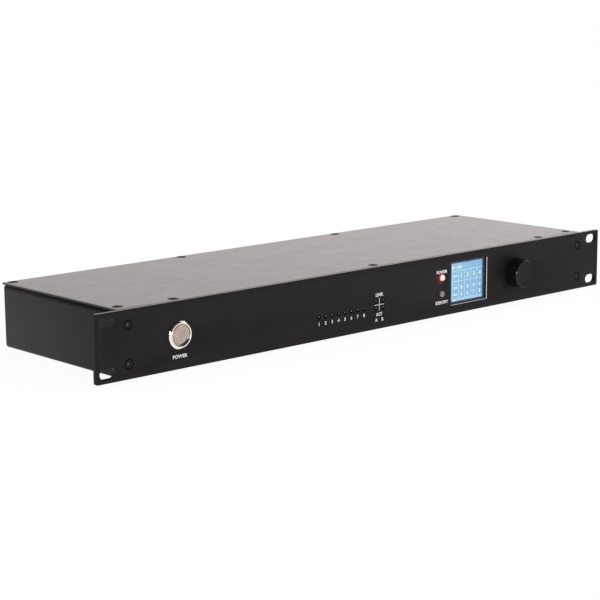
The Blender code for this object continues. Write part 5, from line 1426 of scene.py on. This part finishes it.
# %% Mains inlet
INLET_WIDTH = 50.0 * MM
INLET_HEIGHT = 24.0 * MM
INLET_BODY_WIDTH = 28.0 * MM
INLET_BODY_HEIGHT = 20.5 * MM
INLET_BODY_DEPTH = 20.0 * MM
INLET_SCREWS = [(-20.0 * MM, 0.0), (20.0 * MM, 0.0)]
MOUTH_WIDTH = 24.6 * MM
MOUTH_HEIGHT = 16.8 * MM
MOUTH_DEPTH = 15.0 * MM
MOUTH_CUT = 3.5 * MM
PIN_WIDTH = 2.0 * MM
PIN_HEIGHT = 4.0 * MM
PIN_LENGTH = 13.0 * MM
PIN_TOP = MOUTH_DEPTH - PIN_LENGTH
PIN_PLACES = [(-7.0 * MM, 0.0), (0.0, 4.0 * MM), (7.0 * MM, 0.0)]


def cut_corner_box(width, height, cut):
    """A rectangle's outline, counter-clockwise, whose corners are cut straight."""
    x, z = width / 2, height / 2
    return np.array([(x, cut - z), (x, z - cut), (x - cut, z), (cut - x, z), (-x, z - cut), (-x, cut - z),
                     (cut - x, -z), (x - cut, -z)])


def inlet_shape():
    """Bands and flat faces of the inlet: flange, body behind it, mouth and pins."""
    flange = rim(round_box(INLET_WIDTH, INLET_HEIGHT, FLANGE_CORNER), FLANGE_THICKNESS, ROUNDING)
    outline = round_box(INLET_BODY_WIDTH, INLET_BODY_HEIGHT, 0.8 * MM)
    body = rim(outline, INLET_BODY_DEPTH, 0.3 * MM, start=FLANGE_THICKNESS)
    body = np.concatenate([swept(outline, [(0, FLANGE_THICKNESS)]), body[len(body) // 2:]])
    mouth = swept(cut_corner_box(MOUTH_WIDTH, MOUTH_HEIGHT, MOUTH_CUT),
                  [(0.35 * MM, 0), (0.1 * MM, 0.1 * MM), (0, 0.35 * MM), (0, MOUTH_DEPTH)])
    pin = [(-0.3 * MM, PIN_TOP), (0, PIN_TOP + 0.4 * MM), (0, MOUTH_DEPTH)]
    pins = [swept(round_box(PIN_WIDTH, PIN_HEIGHT, 0.35 * MM, place, 3), pin) for place in PIN_PLACES]
    flats = [[(0, 0), (2, 0)], [(0, 1), (1, 0)], [(1, 1)], [(2, 1), *[(i, 1) for i in (3, 4, 5)]],
             *[[(i, 0)] for i in (3, 4, 5)]]
    return [flange, body, mouth, *pins], flats


def on_pin(point):
    """Whether a point lies on one of the inlet's pins and above the mouth's floor."""
    x = middle("power_inlet").x - point.x
    z = point.z - AXIS_Z
    near = any(abs(x - pin_x) <= PIN_WIDTH / 2 + 0.01 * MM and abs(z - pin_z) <= PIN_HEIGHT / 2 + 0.01 * MM
               for pin_x, pin_z in PIN_PLACES)
    return near and 0 < WALL_FACE - point.y < MOUTH_DEPTH - 0.05 * MM


inlet = wall_piece("mains_inlet", "power_inlet", inlet_shape(), socket_black, "socket_plastic")
inlet.data.materials.append(plated.material)
for polygon in inlet.data.polygons:
    polygon.material_index = int(on_pin(polygon.center))
wall_piece("inlet_screws", "power_inlet", flange_screws(INLET_SCREWS), screw_zinc)
print("inlet at x", round(middle("power_inlet").x / MM, 1), "mm")

# %% [markdown]
# What lies inside the closed case keeps its CAD shape and gets a finish: boards with a green mask and
# paler copper paths, steel, brass and insulation. A printed board's paths are a grid of brick lines.

# %% Inside the case
MASK_GREEN = (0.012, 0.10, 0.035)
PATH_GREEN = (0.035, 0.22, 0.09)


def board_finish(name):
    """Green solder mask with paths and pads showing through as a paler green."""
    finish = Finish(name, MASK_GREEN, 0.38)
    paths = finish.node("ShaderNodeTexBrick", {"offset": 0.37, "squash": 1.0}, {
        "Vector": finish.here(), "Scale": 130.0, "Color1": (0.010, 0.085, 0.030),
        "Color2": (0.014, 0.115, 0.040), "Mortar": PATH_GREEN, "Mortar Size": 0.035})
    finish.set(base_color=paths, roughness=finish.noise(400.0) * 0.2 + 0.3)
    finish.bump(finish.noise(1500.0), 0.01 * MM)
    return finish


def speckled(name, color, roughness, metallic, scale):
    """A plain finish with fine mottling."""
    finish = Finish(name, color, roughness, metallic)
    mottle = finish.noise(scale, 3.0)
    finish.set(base_color=finish.blend(mottle, shade(color, 0.75), shade(color, 1.25)),
               roughness=mottle * 0.2 + (roughness - 0.1))
    finish.bump(mottle, 0.01 * MM)
    return finish


INSIDE = [
    (board_finish("board_green"), ["control_board", "main_board", "power_supply"]),
    (speckled("turned_steel", (0.50, 0.50, 0.51), 0.3, 1.0, 1200.0), ["encoder_shaft", "encoder_body"]),
    (speckled("nut_brass", (0.62, 0.45, 0.20), 0.3, 1.0, 1500.0), ["encoder_nut", "power_button_nut"]),
    (speckled("wire_rubber", (0.018, 0.018, 0.019), 0.5, 0.0, 800.0),
     ["mains_harness", "button_harness", "dc_harness"]),
    (speckled("ribbon_grey", (0.32, 0.32, 0.33), 0.5, 0.0, 600.0), ["display_ribbon"]),
    (speckled("rotor_nylon", (0.015, 0.015, 0.016), 0.45, 0.0, 900.0), ["encoder_rotor"])]
for finish, names in INSIDE:
    for name in names:
        paint(nodes[name], finish)
print("nodes kept as they are:", sum(len(names) for _, names in INSIDE))

# %% [markdown]
# The last cell prints how much the dressed model's box has grown over the CAD model's box, along each
# axis.

# %% Finish
visual_low, visual_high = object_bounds()
growth = (visual_high - visual_low) - (cad_high - cad_low)
print("grown by mm:", [round(side / MM, 2) for side in growth])
